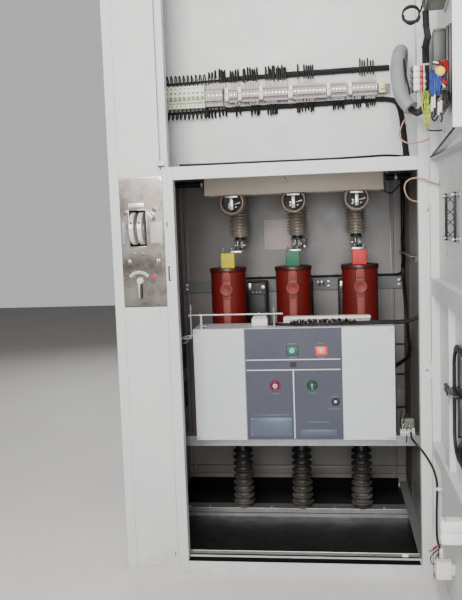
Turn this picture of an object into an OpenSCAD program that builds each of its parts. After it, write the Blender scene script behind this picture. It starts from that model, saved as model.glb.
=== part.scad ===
// Metal-enclosed switchgear bay with a fixed vacuum circuit breaker.
// Millimetres. X runs across the front, Y from the front to the back, Z up.
// The origin is on the ground, at the centre of the cabinet's base.

/* [Cabinet] */
// Width over the side sheets
cab_w = 1100; // [1060:10:1200]
// Depth of the cabinet over its frame
cab_d = 950; // [950:10:1100]
// Height of the roof above the ground
cab_h = 2650; // [2600:10:2800]
// Width of the folded edge of a side sheet
side_fold = 25; // [20:1:30]
// Gap between the two rear covers
cover_gap = 3; // [2:0.5:6]
// Thickness of the folded sheet steel
sheet_t = 2.5; // [2:0.5:3]
// Depth of the front and rear frame posts
post_d = 40; // [36:1:50]
// Width of the left front post
left_post_w = 34; // [30:1:45]
// Width of the post between the strip and the doors
mid_post_w = 37; // [30:1:45]
// Width of the right front post
right_post_w = 37; // [32:1:45]
// Width of the narrow strip on the left
strip_w = 156; // [150:1:170]

/* [Base] */
// Height of the base frame
base_h = 48; // [44:1:70]
// Height of the sill under the strip
strip_sill_h = 29; // [20:1:40]
// Flange width of the base channels
rail_w = 40; // [36:1:50]
// Wall of the base channels
rail_t = 4; // [3:0.5:5]
// Radius of the anchor bolt holes
anchor_r = 7; // [5:0.5:9]
// Distance between the anchor holes front to back
anchor_pitch_y = 700; // [600:10:760]
// Thickness of the floor plates
floor_t = 3; // [2:0.5:4]

/* [Front openings] */
// Height of the breaker bay opening
main_open_h = 1380; // [1370:5:1420]
// Height of the bar between the two doors
bar_h = 45; // [30:1:60]
// Height of the panel over the control box
top_panel_h = 199.5; // [150:0.5:260]
// Height of the lower blank door in the strip
lower_door_h = 957; // [930:1:970]
// Height of the polished drive plate in the strip
drive_plate_h = 457; // [450:1:465]
// Height of the bar over the drive plate
strip_bar_h = 20; // [15:1:25]
// Depth of the folded edge on trays and covers
tray_d = 15; // [12:1:20]
// Gap round each tray in its opening
tray_gap = 0.5; // [0.3:0.1:0.8]
// Width of the stop lips behind the strip trays
stop_lip_w = 14; // [10:1:20]

/* [Breaker bay] */
// Gap between the back wall and the rear posts
wall_gap = 10; // [6:1:40]
// Space between the left side sheet and the bay lining
left_space = 78; // [60:1:80]
// Space between the right side sheet and the bay lining
right_space = 3; // [3:0.5:8]
// Distance from the front plane to the left lining, behind the drives
left_lining_d = 100; // [80:1:120]

/* [Breaker] */
// Width of the breaker housing
box_w = 764; // [740:2:780]
// Height of the breaker housing
box_h = 436; // [400:2:450]
// Depth of the breaker housing
box_d = 160; // [140:1:165]
// Distance from the front plane to the housing
box_front = 245; // [230:1:255]
// Space between the housing and the right lining
box_side_gap = 97.5; // [89:0.5:112]
// Width of the dark front plate
face_w = 367; // [350:1:380]
// Offset of the front plate from the breaker centre
face_x = 1; // [-5:1:5]
// Distance between neighbouring poles
pole_pitch = 273; // [265:1:278]
// Diameter of a cast pole
pole_dia = 146; // [130:1:150]
// Height of a cast pole
pole_h = 495; // [480:1:505]
// Height of the top rim above the housing's top
pole_rise = 218; // [210:1:225]
// Distance from the front plane to the pole axes
pole_front = 552; // [545:1:560]
// Offset of the middle pole from the centre of the housing
pole_shift = -3; // [-6:1:6]
// Height of the rim round the top of a pole
rim_h = 16; // [12:1:22]
// Width of the front rib on a pole
pole_rib_w = 30; // [24:1:36]
// Diameter of the round boss on a pole
boss_dia = 54; // [46:1:60]
// Distance from the top of a pole to the middle of that boss
boss_drop = 88; // [80:1:96]
// Width of a foot between a pole and the housing
foot_w = 90; // [70:2:100]
// Height of such a foot
foot_h = 60; // [50:1:70]
// Radius of a push button
button_r = 17; // [14:0.5:19]
// Travel of a push button
button_travel = 6; // [4:0.5:8]
// Height of the rail under the breaker
carrier_h = 40; // [36:1:45]
// Distance from the ground to the top of that rail
carrier_top = 431; // [425:1:440]
// Distance from the front plane to the face of that rail
carrier_front = 300; // [295:1:305]

/* [Isolator] */
// Distance between neighbouring phases
phase_pitch = 249; // [245:1:252]
// Space between the isolator frame and the right lining
isolator_side_gap = 109.5; // [103:0.5:117]
// Distance from the front plane to the insulators
insulator_front = 690; // [685:1:700]
// Radius of the upper insulator sheds
upper_shed_r = 45; // [41:0.5:47]
// Length of the ribbed stretch of an upper insulator
upper_rib_l = 116; // [110:1:120]
// Underside of the isolator frame above the ground
isolator_z = 1382; // [1378:1:1390]
// Width of the isolator frame
isolator_w = 714; // [700:2:730]
// Distance from the front plane to the isolator frame
isolator_front = 500; // [490:1:510]
// Distance from the insulators to the rear of that frame
isolator_behind = 60; // [50:1:70]
// Distance from the front plane to the bushing mouths
bell_front = 400; // [395:1:405]
// Radius of a bushing mouth
bell_r = 50; // [46:0.5:52]
// Radius of the bore in a bushing mouth
bell_bore_r = 35; // [30:0.5:38]
// Radius of the bushing neck
neck_r = 30; // [26:0.5:32]

/* [Lower insulators] */
// Distance between neighbouring lower insulators
lower_pitch = 253; // [248:1:256]
// Offset of their centre from the centre of the breaker
lower_shift = 10; // [0:1:15]
// Distance from the front plane to the lower rail
lower_front = 545; // [540:1:550]
// Depth of the lower rail
lower_rail_d = 60; // [56:1:70]
// Radius of the lower insulator sheds
lower_shed_r = 46; // [42:0.5:48]
// Height of a lower insulator
lower_ins_h = 285; // [280:1:300]
// Number of sheds on a lower insulator
lower_sheds = 7; // [5:1:8]

/* [Current transformers] */
// Distance between neighbouring transformers
ct_pitch = 204; // [195:1:220]
// Offset of the middle one from the centre of the breaker
ct_shift = 25; // [15:1:35]
// Width of a transformer
ct_w = 92; // [80:1:110]
// Height of a transformer
ct_h = 220; // [180:5:240]
// Depth of a transformer
ct_d = 126; // [110:1:140]
// Height of the wall rail's upper edge above the ground
wall_rail_top = 1003; // [995:1:1004]
// Height of the wall rail
wall_rail_h = 52; // [44:1:60]
// Depth of the wall rail
wall_rail_d = 14; // [10:1:20]

/* [Control box] */
// Distance from the front plane to the back panel
lv_d = 275; // [265:1:290]
// Height of the terminal rail above the ground
din_z = 1741; // [1700:1:1780]
// Height of the small breakers on the rail
breaker_block_h = 80; // [70:1:85]
// Depth of the small breakers from the back panel
breaker_block_d = 70; // [60:1:75]
// Width of the row of small breakers
breaker_block_w = 150; // [130:2:160]
// Distance from the right side to the end of the row of terminals
terminal_side = 151; // [145:1:200]
// Height of a terminal
terminal_h = 52; // [46:1:56]
// Depth of a terminal from the back panel
terminal_d = 60; // [50:1:64]
// Diameter of the conduit to the control door
conduit_dia = 46; // [40:1:50]

/* [Doors] */
// Width of both big doors
door_w = 893; // [880:1:900]
// Thickness of both big doors
door_t = 30; // [26:1:34]
// Distance from the hinge axis to the edge of a door
hinge_edge = 6; // [6:0.5:8]
// Radius of the hinge barrels
barrel_r = 5; // [4:0.25:5.5]
// Height of the main door's lower edge above the ground
main_door_z = 32; // [25:1:40]
// Gap between the two doors
door_gap = 6; // [6:1:20]
// Height of the bar that shows over the main door
bar_over_door = 13; // [5:1:20]
// Angle at which the control door stands open
lv_angle = 86; // [80:1:90]
// Distance from the free edge of the main door to its window
window_edge = 241; // [236:1:260]
// Width of the window
window_w = 300; // [260:5:320]
// Height of the window
window_h = 314; // [300:2:320]
// Height of the window's lower edge above the ground
window_z = 575; // [570:1:580]

/* [Door fittings] */
// Width of the relay on the control door
relay_w = 170; // [150:2:180]
// Height of the relay
relay_h = 171; // [150:1:190]
// Depth of the relay
relay_d = 50; // [44:1:62]
// Width of the meter over the relay
meter_w = 150; // [120:2:160]
// Height of the meter
meter_h = 170; // [140:5:190]
// Depth of the meter
meter_d = 66; // [56:1:78]
// Width and height of a lamp's back
lamp_w = 48; // [40:1:60]
// Depth of a lamp's back
lamp_d = 60; // [50:1:80]
// Height of the lock plate
lock_h = 140; // [120:2:160]
// Height of the lower rib above the edge of the main door
rib_low_up = 422; // [415:1:430]
// Height of the upper rib above the edge of the main door
rib_mid_up = 977; // [970:1:985]
// Depth of the ribs
rib_d = 27; // [22:0.5:27]
// Depth of the upright between the ribs
upright_d = 20; // [16:1:22]

/* [Drives] */
// Radius of the drive discs
disc_r = 57; // [50:1:60]
// Thickness of a drive disc
disc_t = 16; // [12:1:18]
// Distance between the two drive discs
disc_pitch = 29; // [27:1:32]
// Height of the drive axle above the lower edge of its plate
axle_up = 278; // [265:1:285]
// Radius of the drive axle
axle_r = 8; // [6:0.5:10]
// Height of the selector pivot above the lower edge of its plate
selector_up = 93; // [85:1:100]

/* [Hidden] */
$fn = 48;

// Seat left between pieces that rest against each other
seat = 0.3;
// Amount by which a cutter passes a face
past = 1;

// Planes of the cabinet
left_x = -cab_w / 2;
right_x = cab_w / 2;
front_y = -cab_d / 2;
strip_x0 = left_x + left_post_w;
strip_x1 = strip_x0 + strip_w;
open_x0 = strip_x1 + mid_post_w;
open_x1 = right_x - right_post_w;
bar_z0 = base_h + main_open_h;
bar_z1 = bar_z0 + bar_h;
roof_z0 = cab_h - sheet_t;
lv_z1 = roof_z0 - top_panel_h;
plate_z0 = strip_sill_h + lower_door_h;
plate_z1 = plate_z0 + drive_plate_h;
strip_bar_z1 = plate_z1 + strip_bar_h;
left_in = left_x + left_space;
right_in = right_x - right_space - sheet_t;
rear_d = cab_d - post_d;
bay_d = rear_d - wall_gap;

// Centres of the breaker, the isolator and the lower insulators
box_x1 = right_in - box_side_gap;
box_x0 = box_x1 - box_w;
breaker_x = (box_x0 + box_x1) / 2;
isolator_x1 = right_in - isolator_side_gap;
isolator_x0 = isolator_x1 - isolator_w;
isolator_x = (isolator_x0 + isolator_x1) / 2;
lower_x = breaker_x + lower_shift;
window_u = door_w - window_edge - window_w;

// A box from depth d0 to d1 behind the front plane
module slab(x0, x1, d0, d1, z0, z1) {
    translate([x0, front_y + d0, z0]) cube([x1 - x0, d1 - d0, z1 - z0]);
}

// A tray of sheet, open at the back, with folded edges
module tray(x0, x1, z0, z1, d) {
    difference() {
        slab(x0, x1, 0, d, z0, z1);
        slab(x0 + sheet_t, x1 - sheet_t, sheet_t, d + past, z0 + sheet_t, z1 - sheet_t);
    }
}

// A square tube standing between two heights
module tube_post(x0, x1, d0, d1, z0, z1) {
    difference() {
        slab(x0, x1, d0, d1, z0, z1);
        slab(x0 + sheet_t, x1 - sheet_t, d0 + sheet_t, d1 - sheet_t, z0 - past, z1 + past);
    }
}

// A cylinder along Y from depth d0 to d1
module rod_y(x, z, d0, d1, r) {
    translate([x, front_y + d0, z]) rotate([-90, 0, 0]) cylinder(h = d1 - d0, r = r);
}

// A cylinder along X
module rod_x(x0, x1, d, z, r) {
    translate([x0, front_y + d, z]) rotate([0, 90, 0]) cylinder(h = x1 - x0, r = r);
}

// A cylinder along Z
module rod_z(x, d, z0, z1, r) {
    translate([x, front_y + d, z0]) cylinder(h = z1 - z0, r = r);
}

function unit(v) = v / norm(v);
// Points of a ring round a route, at point i
function ring(route, i, r, sides, ref) =
    let (a = route[max(i - 1, 0)])
    let (b = route[min(i + 1, len(route) - 1)])
    let (t = unit(b - a))
    let (s = unit(cross(ref, t)))
    let (u = cross(t, s))
    [for (k = [0 : sides - 1]) route[i] + r * (cos(360 * k / sides) * s - sin(360 * k / sides) * u)];

// A cord swept along points given as x, depth and height
module cord(points, r, ref, sides = 8) {
    route = [for (p = points) [p[0], front_y + p[1], p[2]]];
    n = len(route);
    verts = [for (i = [0 : n - 1]) each ring(route, i, r, sides, ref)];
    walls = [for (i = [0 : n - 2]) for (k = [0 : sides - 1])
        let (a = i * sides + k)
        let (b = i * sides + (k + 1) % sides)
        [a, b, b + sides, a + sides]];
    first = [for (k = [0 : sides - 1]) sides - 1 - k];
    last = [for (k = [0 : sides - 1]) (n - 1) * sides + k];
    polyhedron(points = verts, faces = concat([first], walls, [last]));
}

/* Base */

// Front sills between the posts, with a small upstand at the rear edge
module base_sills() {
    lip_h = 8;
    color([0.80, 0.80, 0.80]) {
        difference() {
            slab(open_x0 + seat, open_x1 - seat, 0, post_d, 0, base_h);
            slab(open_x0, open_x1, sheet_t, post_d + past, sheet_t, base_h - sheet_t);
        }
        slab(open_x0 + seat, open_x1 - seat, post_d - sheet_t, post_d, base_h - sheet_t, base_h + lip_h);
        difference() {
            slab(strip_x0 + seat, strip_x1 - seat, 0, post_d, 0, strip_sill_h);
            slab(strip_x0, strip_x1, sheet_t, post_d + past, sheet_t, strip_sill_h - sheet_t);
        }
    }
}

// A base channel with its web outside, its mouth towards the middle
module side_rail() {
    x0 = left_x;
    difference() {
        slab(x0, x0 + rail_w, post_d + seat, cab_d, 0, base_h);
        slab(x0 + rail_t, x0 + rail_w + past, 0, cab_d + past, rail_t, base_h - rail_t);
        for (s = [-1, 1])
            translate([x0 + rail_w / 2, s * anchor_pitch_y / 2, -past])
                cylinder(h = rail_t + 2 * past, r = anchor_r);
    }
}

module base_rails() {
    color([0.10, 0.10, 0.11]) {
        side_rail();
        mirror([1, 0, 0]) side_rail();
        difference() {
            slab(left_x + rail_w + seat, right_x - rail_w - seat, rear_d, cab_d, 0, base_h);
            slab(left_x, right_x, rear_d - past, cab_d - rail_t, rail_t, base_h - rail_t);
        }
    }
}

// Cross rail that carries the lower insulators, hooked into the side rails
module lower_rail() {
    z0 = rail_t;
    z1 = base_h - rail_t;
    x1 = right_x - rail_t - seat;
    color([0.62, 0.63, 0.63]) difference() {
        slab(-x1, x1, lower_front, lower_front + lower_rail_d, z0, z1);
        slab(-x1 - past, x1 + past, lower_front + rail_t, lower_front + lower_rail_d + past,
             z0 + rail_t, z1 - rail_t);
    }
}

// Dark floor plates on the flanges of the side rails
module floor_plates() {
    x1 = right_x - rail_t - seat;
    color([0.03, 0.03, 0.035]) {
        slab(-x1, x1, post_d + seat, lower_front - seat, rail_t, rail_t + floor_t);
        slab(-x1, x1, lower_front + lower_rail_d + seat, rear_d - seat, rail_t, rail_t + floor_t);
    }
}

// Bright earthing bar behind the front sill, on two stand-offs
module earth_bar() {
    d = post_d + 30;
    t = 5;
    h = 15;
    z0 = base_h - 3;
    reach = 60;
    foot = 20;
    x0 = open_x0 - reach;
    x1 = right_x - rail_w - seat;
    color([0.75, 0.76, 0.77]) {
        slab(x0, x1, d, d + t, z0, z0 + h);
        for (x = [x0 + foot, x1 - 3 * foot])
            slab(x, x + foot, d - foot / 2, d, rail_t + floor_t + seat, z0 + h / 2);
    }
}

/* Frame */

module left_post() {
    color([0.80, 0.80, 0.80]) {
        tube_post(left_x, strip_x0, 0, post_d, 0, roof_z0);
        slab(strip_x0 - sheet_t, strip_x0 + stop_lip_w, tray_d + seat, tray_d + seat + sheet_t,
             strip_sill_h + seat, lv_z1);
    }
}

// Narrower beside the control box than beside the bay
lv_step = 15;
module mid_post() {
    color([0.80, 0.80, 0.80]) {
        tube_post(strip_x1, open_x0, 0, post_d, 0, bar_z1 - sheet_t);
        slab(strip_x1, open_x0, 0, post_d, bar_z1 - sheet_t - past / 10, bar_z1);
        tube_post(strip_x1, open_x0 - lv_step, 0, post_d, bar_z1 - past / 10, lv_z1);
        slab(strip_x1 - stop_lip_w, strip_x1 + sheet_t, tray_d + seat, tray_d + seat + sheet_t,
             strip_sill_h + seat, lv_z1);
    }
}

module right_post() {
    color([0.80, 0.80, 0.80]) tube_post(open_x1, right_x, 0, post_d, 0, roof_z0);
}

// The bar between the doors, and the short bar in the strip
module frame_bars() {
    color([0.80, 0.80, 0.80]) {
        difference() {
            slab(open_x0 + seat, open_x1 - seat, 0, post_d, bar_z0, bar_z1);
            slab(open_x0, open_x1, sheet_t, post_d + past, bar_z0 + sheet_t, bar_z1 - sheet_t);
        }
        slab(strip_x0 + seat, strip_x1 - seat, 0, tray_d, plate_z1, strip_bar_z1);
    }
}

module top_panel() {
    color([0.80, 0.80, 0.80])
        tray(strip_x0 + tray_gap, open_x1 - tray_gap, lv_z1, roof_z0, tray_d);
}

// A blank tray in the strip with two lift-off pins on its left edge
module strip_door(z0, z1, groove) {
    tray(strip_x0 + tray_gap, strip_x1 - groove, z0 + tray_gap, z1 - tray_gap, tray_d);
}

module upper_blank_door() {
    color([0.78, 0.79, 0.80]) strip_door(strip_bar_z1, lv_z1, 7);
}

module lower_blank_door() {
    color([0.78, 0.79, 0.80]) strip_door(strip_sill_h, plate_z0, tray_gap);
}

module side_sheets() {
    color([0.79, 0.79, 0.79]) for (s = [0, 1]) mirror([s, 0, 0]) difference() {
        slab(left_x, left_x + side_fold, post_d + seat, rear_d - seat, base_h, roof_z0);
        slab(left_x + sheet_t, left_x + side_fold + past, post_d + seat + sheet_t,
             rear_d - seat - sheet_t, base_h - past, roof_z0 + past);
    }
}

module rear_posts() {
    color([0.79, 0.79, 0.79]) for (s = [0, 1]) mirror([s, 0, 0])
        tube_post(left_x, left_x + rail_w, rear_d, cab_d, base_h, roof_z0);
}

// Two bolted covers between the rear posts
module rear_covers() {
    x1 = right_x - rail_w - tray_gap;
    color([0.78, 0.79, 0.79])
        for (z = [[base_h, bar_z1 - cover_gap / 2], [bar_z1 + cover_gap / 2, roof_z0 - seat]])
            difference() {
                slab(-x1, x1, cab_d - tray_d, cab_d, z[0], z[1]);
                slab(-x1 + sheet_t, x1 - sheet_t, cab_d - tray_d - past, cab_d - sheet_t,
                     z[0] + sheet_t, z[1] - sheet_t);
            }
}

module roof_plate() {
    color([0.79, 0.79, 0.79]) slab(left_x, right_x, 0, cab_d, roof_z0, cab_h);
}

/* Breaker bay */

module bay_linings() {
    color([0.55, 0.56, 0.57]) {
        slab(left_in - sheet_t, left_in, left_lining_d, bay_d - seat, base_h, bar_z1 - seat);
        slab(right_in, right_in + sheet_t, post_d + sheet_t + 2 * seat, bay_d - seat, base_h,
             bar_z1 - seat);
    }
}

module back_wall() {
    x1 = right_x - sheet_t - seat;
    color([0.62, 0.63, 0.64]) slab(-x1, x1, bay_d, bay_d + sheet_t, base_h, roof_z0 - seat);
}

module ceiling_plate() {
    x1 = right_x - sheet_t - seat;
    color([0.60, 0.60, 0.60])
        slab(-x1, x1, post_d + sheet_t + 2 * seat, bay_d - seat, bar_z1, bar_z1 + sheet_t);
}

/* Control box */

module lv_back_panel() {
    x1 = right_x - sheet_t - seat;
    color([0.83, 0.83, 0.82])
        slab(-x1, x1, lv_d, lv_d + sheet_t, bar_z1 + sheet_t, roof_z0 - seat);
}

// The row of small breakers starts behind the middle post
row_hidden = 58;
row_x0 = open_x0 - row_hidden;
row_x1 = row_x0 + breaker_block_w;
terminal_x1 = right_x - terminal_side;

// A block on the rail with a narrower nose in front of it
module rail_block(x0, x1, d, h, nose_d, nose_h) {
    slab(x0, x1, lv_d - d + nose_d, lv_d - seat, din_z - h / 2, din_z + h / 2);
    slab(x0, x1, lv_d - d, lv_d - d + nose_d + past, din_z - nose_h / 2, din_z + nose_h / 2);
}

// Eight small breakers with stepped fronts, on one rail
module lv_breakers() {
    nose_d = 14;
    nose_h = 44;
    color([0.86, 0.87, 0.78])
        rail_block(row_x0, row_x1, breaker_block_d, breaker_block_h, nose_d, nose_h);
}

module lv_terminals() {
    nose_d = 14;
    nose_h = 26;
    color([0.70, 0.70, 0.68])
        rail_block(row_x1 + 1, terminal_x1, terminal_d, terminal_h, nose_d, nose_h);
}

// Bundles of black wires over and under the terminals, and the cord on the floor
loom_up_z = din_z + 67;
loom_low_z = din_z - 45;
module lv_looms() {
    r = 8;
    d = lv_d - r - seat;
    z = loom_low_z;
    floor_r = 4;
    fz = bar_z1 + sheet_t + floor_r + 0.5;
    color([0.05, 0.05, 0.05]) {
        rod_x(row_x1 - 20, right_x - 100, d, loom_up_z, r);
        cord([[row_x1 + 90, d, z], [right_x - 250, d, z], [right_x - 110, d, z],
              [right_x - 80, d, z - 8], [right_x - 66, d, z - 46], [right_x - 58, d, z - 106],
              [right_x - 50, d, z - 176], [right_x - 45, d, z - 211]], r, [0, 1, 0]);
        cord([[open_x0 + 18, 50, fz + 1], [-180, 50, fz], [-30, 52, fz], [120, 54, fz],
              [right_x - 290, 62, fz + 1], [right_x - 200, 80, fz + 4],
              [right_x - 130, 110, fz + 7], [right_x - 70, 150, fz + 4]], floor_r, [0, 0, 1]);
    }
}

// Corrugated conduit that arches out of the box to the control door
module lv_conduit() {
    x = right_x;
    z = din_z;
    d = lv_d - conduit_dia / 2 - seat;
    color([0.55, 0.56, 0.58])
        cord([[x - 72, d, z - 15], [x - 70, d - 4, z + 25], [x - 68, d - 21, z + 62],
              [x - 68, d - 54, z + 89], [x - 71, d - 94, z + 101], [x - 78, 116, z + 98],
              [x - 87, 80, z + 80], [x - 94, 48, z + 50], [x - 98, 18, z + 10],
              [x - 98, -10, z - 34], [x - 91, -34, z - 73], [x - 79, -51, z - 99],
              [x - 65, -62, z - 118]],
             conduit_dia / 2, [1, 0.4, 0], 12);
}

/* Doors. A door is drawn closed, with its hinge axis on the origin's vertical. */

hinge_d = -6;
main_door_h = bar_z1 - bar_over_door - main_door_z;
lv_door_z = main_door_z + main_door_h + door_gap;
door_overlap = 12;
lv_door_h = lv_z1 + door_overlap - lv_door_z;

module door_tray(z0, h) {
    translate([-hinge_edge - door_w, -door_t, z0]) difference() {
        cube([door_w, door_t, h]);
        translate([sheet_t, sheet_t, sheet_t])
            cube([door_w - 2 * sheet_t, door_t, h - 2 * sheet_t]);
    }
}

// Turns a closed door about its hinge axis
module swing(angle) {
    translate([right_x, front_y + hinge_d, 0]) rotate([0, 0, angle]) children();
}

// Heights of the hinges on a door
hinge_in = 120;
function hinge_heights(z0, h) = [z0 + hinge_in, z0 + h / 2, z0 + h - hinge_in];
knuckle_h = 30;
pin_r = 2.5;
pin_gap = 0.05;

// The door's half of a hinge, with the bore for the pin
module door_knuckles(z0, h) {
    for (z = hinge_heights(z0, h)) translate([0, 0, z]) difference() {
        union() {
            cylinder(h = knuckle_h, r = barrel_r);
            translate([-hinge_edge - 0.5, -barrel_r, 0]) cube([hinge_edge, 4, knuckle_h]);
        }
        translate([0, 0, -past]) cylinder(h = knuckle_h + 2 * past, r = pin_r + pin_gap);
    }
}

// The frame's half of every hinge, a leaf on the right post with its pin
module hinge_pins() {
    main = hinge_heights(main_door_z, main_door_h);
    lv = hinge_heights(lv_door_z, lv_door_h);
    color([0.70, 0.70, 0.70]) for (z = concat(main, lv)) {
        translate([right_x, front_y + hinge_d, z - knuckle_h - seat])
            cylinder(h = knuckle_h, r = barrel_r);
        translate([right_x, front_y + hinge_d, z - seat])
            cylinder(h = knuckle_h - 2, r = pin_r);
        slab(right_x - 28, right_x, -2, 0, z - knuckle_h - seat, z - seat);
    }
}

// A cutter with round corners for the window
window_r = 60;
module window_shape(grow, y0, y1) {
    r = window_r + grow;
    x1 = -hinge_edge - window_u + grow;
    x0 = x1 - window_w - 2 * grow;
    z0 = window_z - grow;
    z1 = window_z + window_h + grow;
    translate([0, y1, 0]) rotate([90, 0, 0]) linear_extrude(height = y1 - y0)
        union() {
            translate([x0 + r, z0]) square([x1 - x0 - 2 * r, z1 - z0]);
            translate([x0, z0 + r]) square([x1 - x0, z1 - z0 - 2 * r]);
            for (x = [x0 + r, x1 - r]) for (z = [z0 + r, z1 - r]) translate([x, z]) circle(r = r);
        }
}

module main_door_panel() {
    color([0.79, 0.79, 0.79]) swing(90) {
        difference() {
            door_tray(main_door_z, main_door_h);
            window_shape(0, -door_t - past, past);
        }
        door_knuckles(main_door_z, main_door_h);
    }
}

// Flat ribs folded as hats, welded inside the door
module door_rib(z0, h) {
    u0 = -hinge_edge - sheet_t - seat;
    u1 = -hinge_edge - door_w + sheet_t + seat;
    y0 = -door_t + sheet_t;
    translate([u1, y0, z0]) difference() {
        cube([u0 - u1, rib_d, h]);
        translate([-past, -past, sheet_t])
            cube([u0 - u1 + 2 * past, rib_d - sheet_t + past, h - 2 * sheet_t]);
    }
}

// Place of the upright beside the window, seen from the hinge side
upright_u = 253;
upright_w = 80;

// Two ribs across the door, and an upright between them
module main_door_ribs() {
    rib_low_h = 46;
    rib_mid_h = 55;
    z0 = main_door_z + rib_low_up + rib_low_h + seat;
    z1 = main_door_z + rib_mid_up - seat;
    color([0.76, 0.76, 0.76]) swing(90) {
        door_rib(main_door_z + rib_low_up, rib_low_h);
        door_rib(main_door_z + rib_mid_up, rib_mid_h);
        translate([-hinge_edge - upright_u - upright_w, -door_t + sheet_t, z0]) difference() {
            cube([upright_w, upright_d, z1 - z0]);
            translate([sheet_t, -past, -past])
                cube([upright_w - 2 * sheet_t, upright_d - sheet_t + past, z1 - z0 + 2 * past]);
        }
    }
}

// Glass pane behind the window, in a black rubber frame
module main_door_window() {
    frame_w = 14;
    frame_t = 8;
    y0 = -door_t + sheet_t;
    color([0.10, 0.10, 0.11]) swing(90) window_shape(frame_w, y0, y0 + frame_t);
}

// Lock near the free edge, with its outer plate and the cam inside,
// and the small black catch on the upright beside the window
module main_door_lock() {
    plate_w = 30;
    plate_t = 14;
    cam_w = 28;
    cam_h = 44;
    cam_d = 22;
    catch_w = 30;
    catch_h = 33;
    catch_d = 10;
    u = -hinge_edge - door_w + 45;
    catch_u = -hinge_edge - upright_u - upright_w / 2 - catch_w;
    z = window_z + 225;
    catch_z = window_z + 181;
    inner_y = -door_t + sheet_t + seat;
    color([0.10, 0.10, 0.10]) swing(90) {
        translate([u - plate_w / 2, -door_t - plate_t, z - lock_h / 2])
            cube([plate_w, plate_t - seat, lock_h]);
        translate([u - cam_w / 2, inner_y, z - cam_h / 2]) cube([cam_w, cam_d, cam_h]);
        translate([catch_u, inner_y + upright_d, catch_z]) cube([catch_w, catch_d, catch_h]);
    }
}

// White blocks near the ribs of the main door
module main_door_blocks() {
    pair_w = 40;
    pair_d = 82;
    pair_h = 32;
    low_w = 36;
    low_d = 58;
    low_h = 60;
    pair_u = -hinge_edge - window_u - 248;
    low_u = -hinge_edge - 310;
    y0 = -door_t + sheet_t + seat;
    color([0.88, 0.88, 0.86]) swing(90) {
        for (k = [1, 2])
            translate([pair_u, y0, main_door_z + rib_low_up - k * (pair_h + 1) - 2])
                cube([pair_w, pair_d, pair_h]);
        translate([low_u, y0, main_door_z + 114]) cube([low_w, low_d, low_h]);
    }
}

module lv_door() {
    color([0.80, 0.80, 0.80]) swing(lv_angle) {
        door_tray(lv_door_z, lv_door_h);
        door_knuckles(lv_door_z, lv_door_h);
    }
}

// A box inside the control door, at a distance from its hinge side and its lower edge
module door_box(u, up, w, h, d) {
    translate([-hinge_edge - u - w, -door_t + sheet_t + seat, lv_door_z + up]) cube([w, d, h]);
}

// Backs of the relay, the meter, the switch and the lamps on the control door
module lv_door_devices() {
    stack_w = 50;
    stack_h = 72;
    stack_d = 90;
    color([0.12, 0.12, 0.13]) swing(lv_angle) {
        door_box(420, 118, relay_w, relay_h, relay_d);
        door_box(344, 380, meter_w, meter_h, meter_d);
        door_box(244, 174, stack_w, stack_h, stack_d);
        for (k = [0 : 2]) door_box(300 + 2 * k * lamp_w, 660, lamp_w, lamp_w, lamp_d);
    }
}

/* Isolator */

module isolator_frame() {
    x0 = isolator_x0;
    x1 = isolator_x1;
    d1 = insulator_front + isolator_behind;
    color([0.65, 0.61, 0.57]) difference() {
        slab(x0, x1, isolator_front, d1, isolator_z, bar_z1 - seat);
        slab(x0 - past, x1 + past, isolator_front + sheet_t, d1 - sheet_t,
             isolator_z + sheet_t, bar_z1);
    }
}

function phase_x(i) = isolator_x + i * phase_pitch;
bell_z = isolator_z - neck_r - seat;
bell_l = 70;
bell_bore_l = 60;

// Glossy bushings that point to the front, each with a wide mouth
module isolator_bushings() {
    color([0.46, 0.36, 0.26]) for (i = [-1, 0, 1]) difference() {
        union() {
            rod_y(phase_x(i), bell_z, bell_front, bell_front + bell_l, bell_r);
            rod_y(phase_x(i), bell_z, bell_front + bell_l - past,
                  insulator_front - upper_shed_r - seat, neck_r);
        }
        rod_y(phase_x(i), bell_z, bell_front - past, bell_front + bell_bore_l, bell_bore_r);
    }
}

insulator_neck_h = 59;
upper_rib_z1 = isolator_z - insulator_neck_h;
upper_rib_z0 = upper_rib_z1 - upper_rib_l;

// A ribbed insulator standing on z = 0
module ribbed(core_r, shed_r, length, sheds) {
    step = length / sheds;
    rotate_extrude() polygon(concat([[0, 0]],
        [for (k = [0 : sheds - 1]) each [[core_r, k * step], [shed_r, (k + 0.3) * step],
            [shed_r, (k + 0.6) * step], [core_r, (k + 1) * step]]],
        [[0, length]]));
}

module isolator_insulators() {
    shed_depth = 9;
    neck_in = 8;
    sheds = 9;
    color([0.42, 0.38, 0.34]) for (i = [-1, 0, 1]) {
        translate([phase_x(i), front_y + insulator_front, upper_rib_z0])
            ribbed(upper_shed_r - shed_depth, upper_shed_r, upper_rib_l, sheds);
        rod_z(phase_x(i), insulator_front, upper_rib_z1 - past, isolator_z - seat,
              upper_shed_r - neck_in);
    }
}

// Moving contacts in the mouths, each a blade on edge with a cross bar
module isolator_contacts() {
    blade_w = 14;
    blade_h = 45;
    bar_w = 52;
    bar_t = 12;
    z1 = bell_z + 27;
    color([0.85, 0.84, 0.80]) for (i = [-1, 0, 1]) {
        slab(phase_x(i) - blade_w / 2, phase_x(i) + blade_w / 2, bell_front - bar_t,
             bell_front + bell_bore_l - seat, z1 - bar_t + past - blade_h, z1 - bar_t + past);
        slab(phase_x(i) - bar_w / 2, phase_x(i) + bar_w / 2, bell_front - bar_t,
             bell_front - seat, z1 - bar_t, z1);
    }
}

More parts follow.
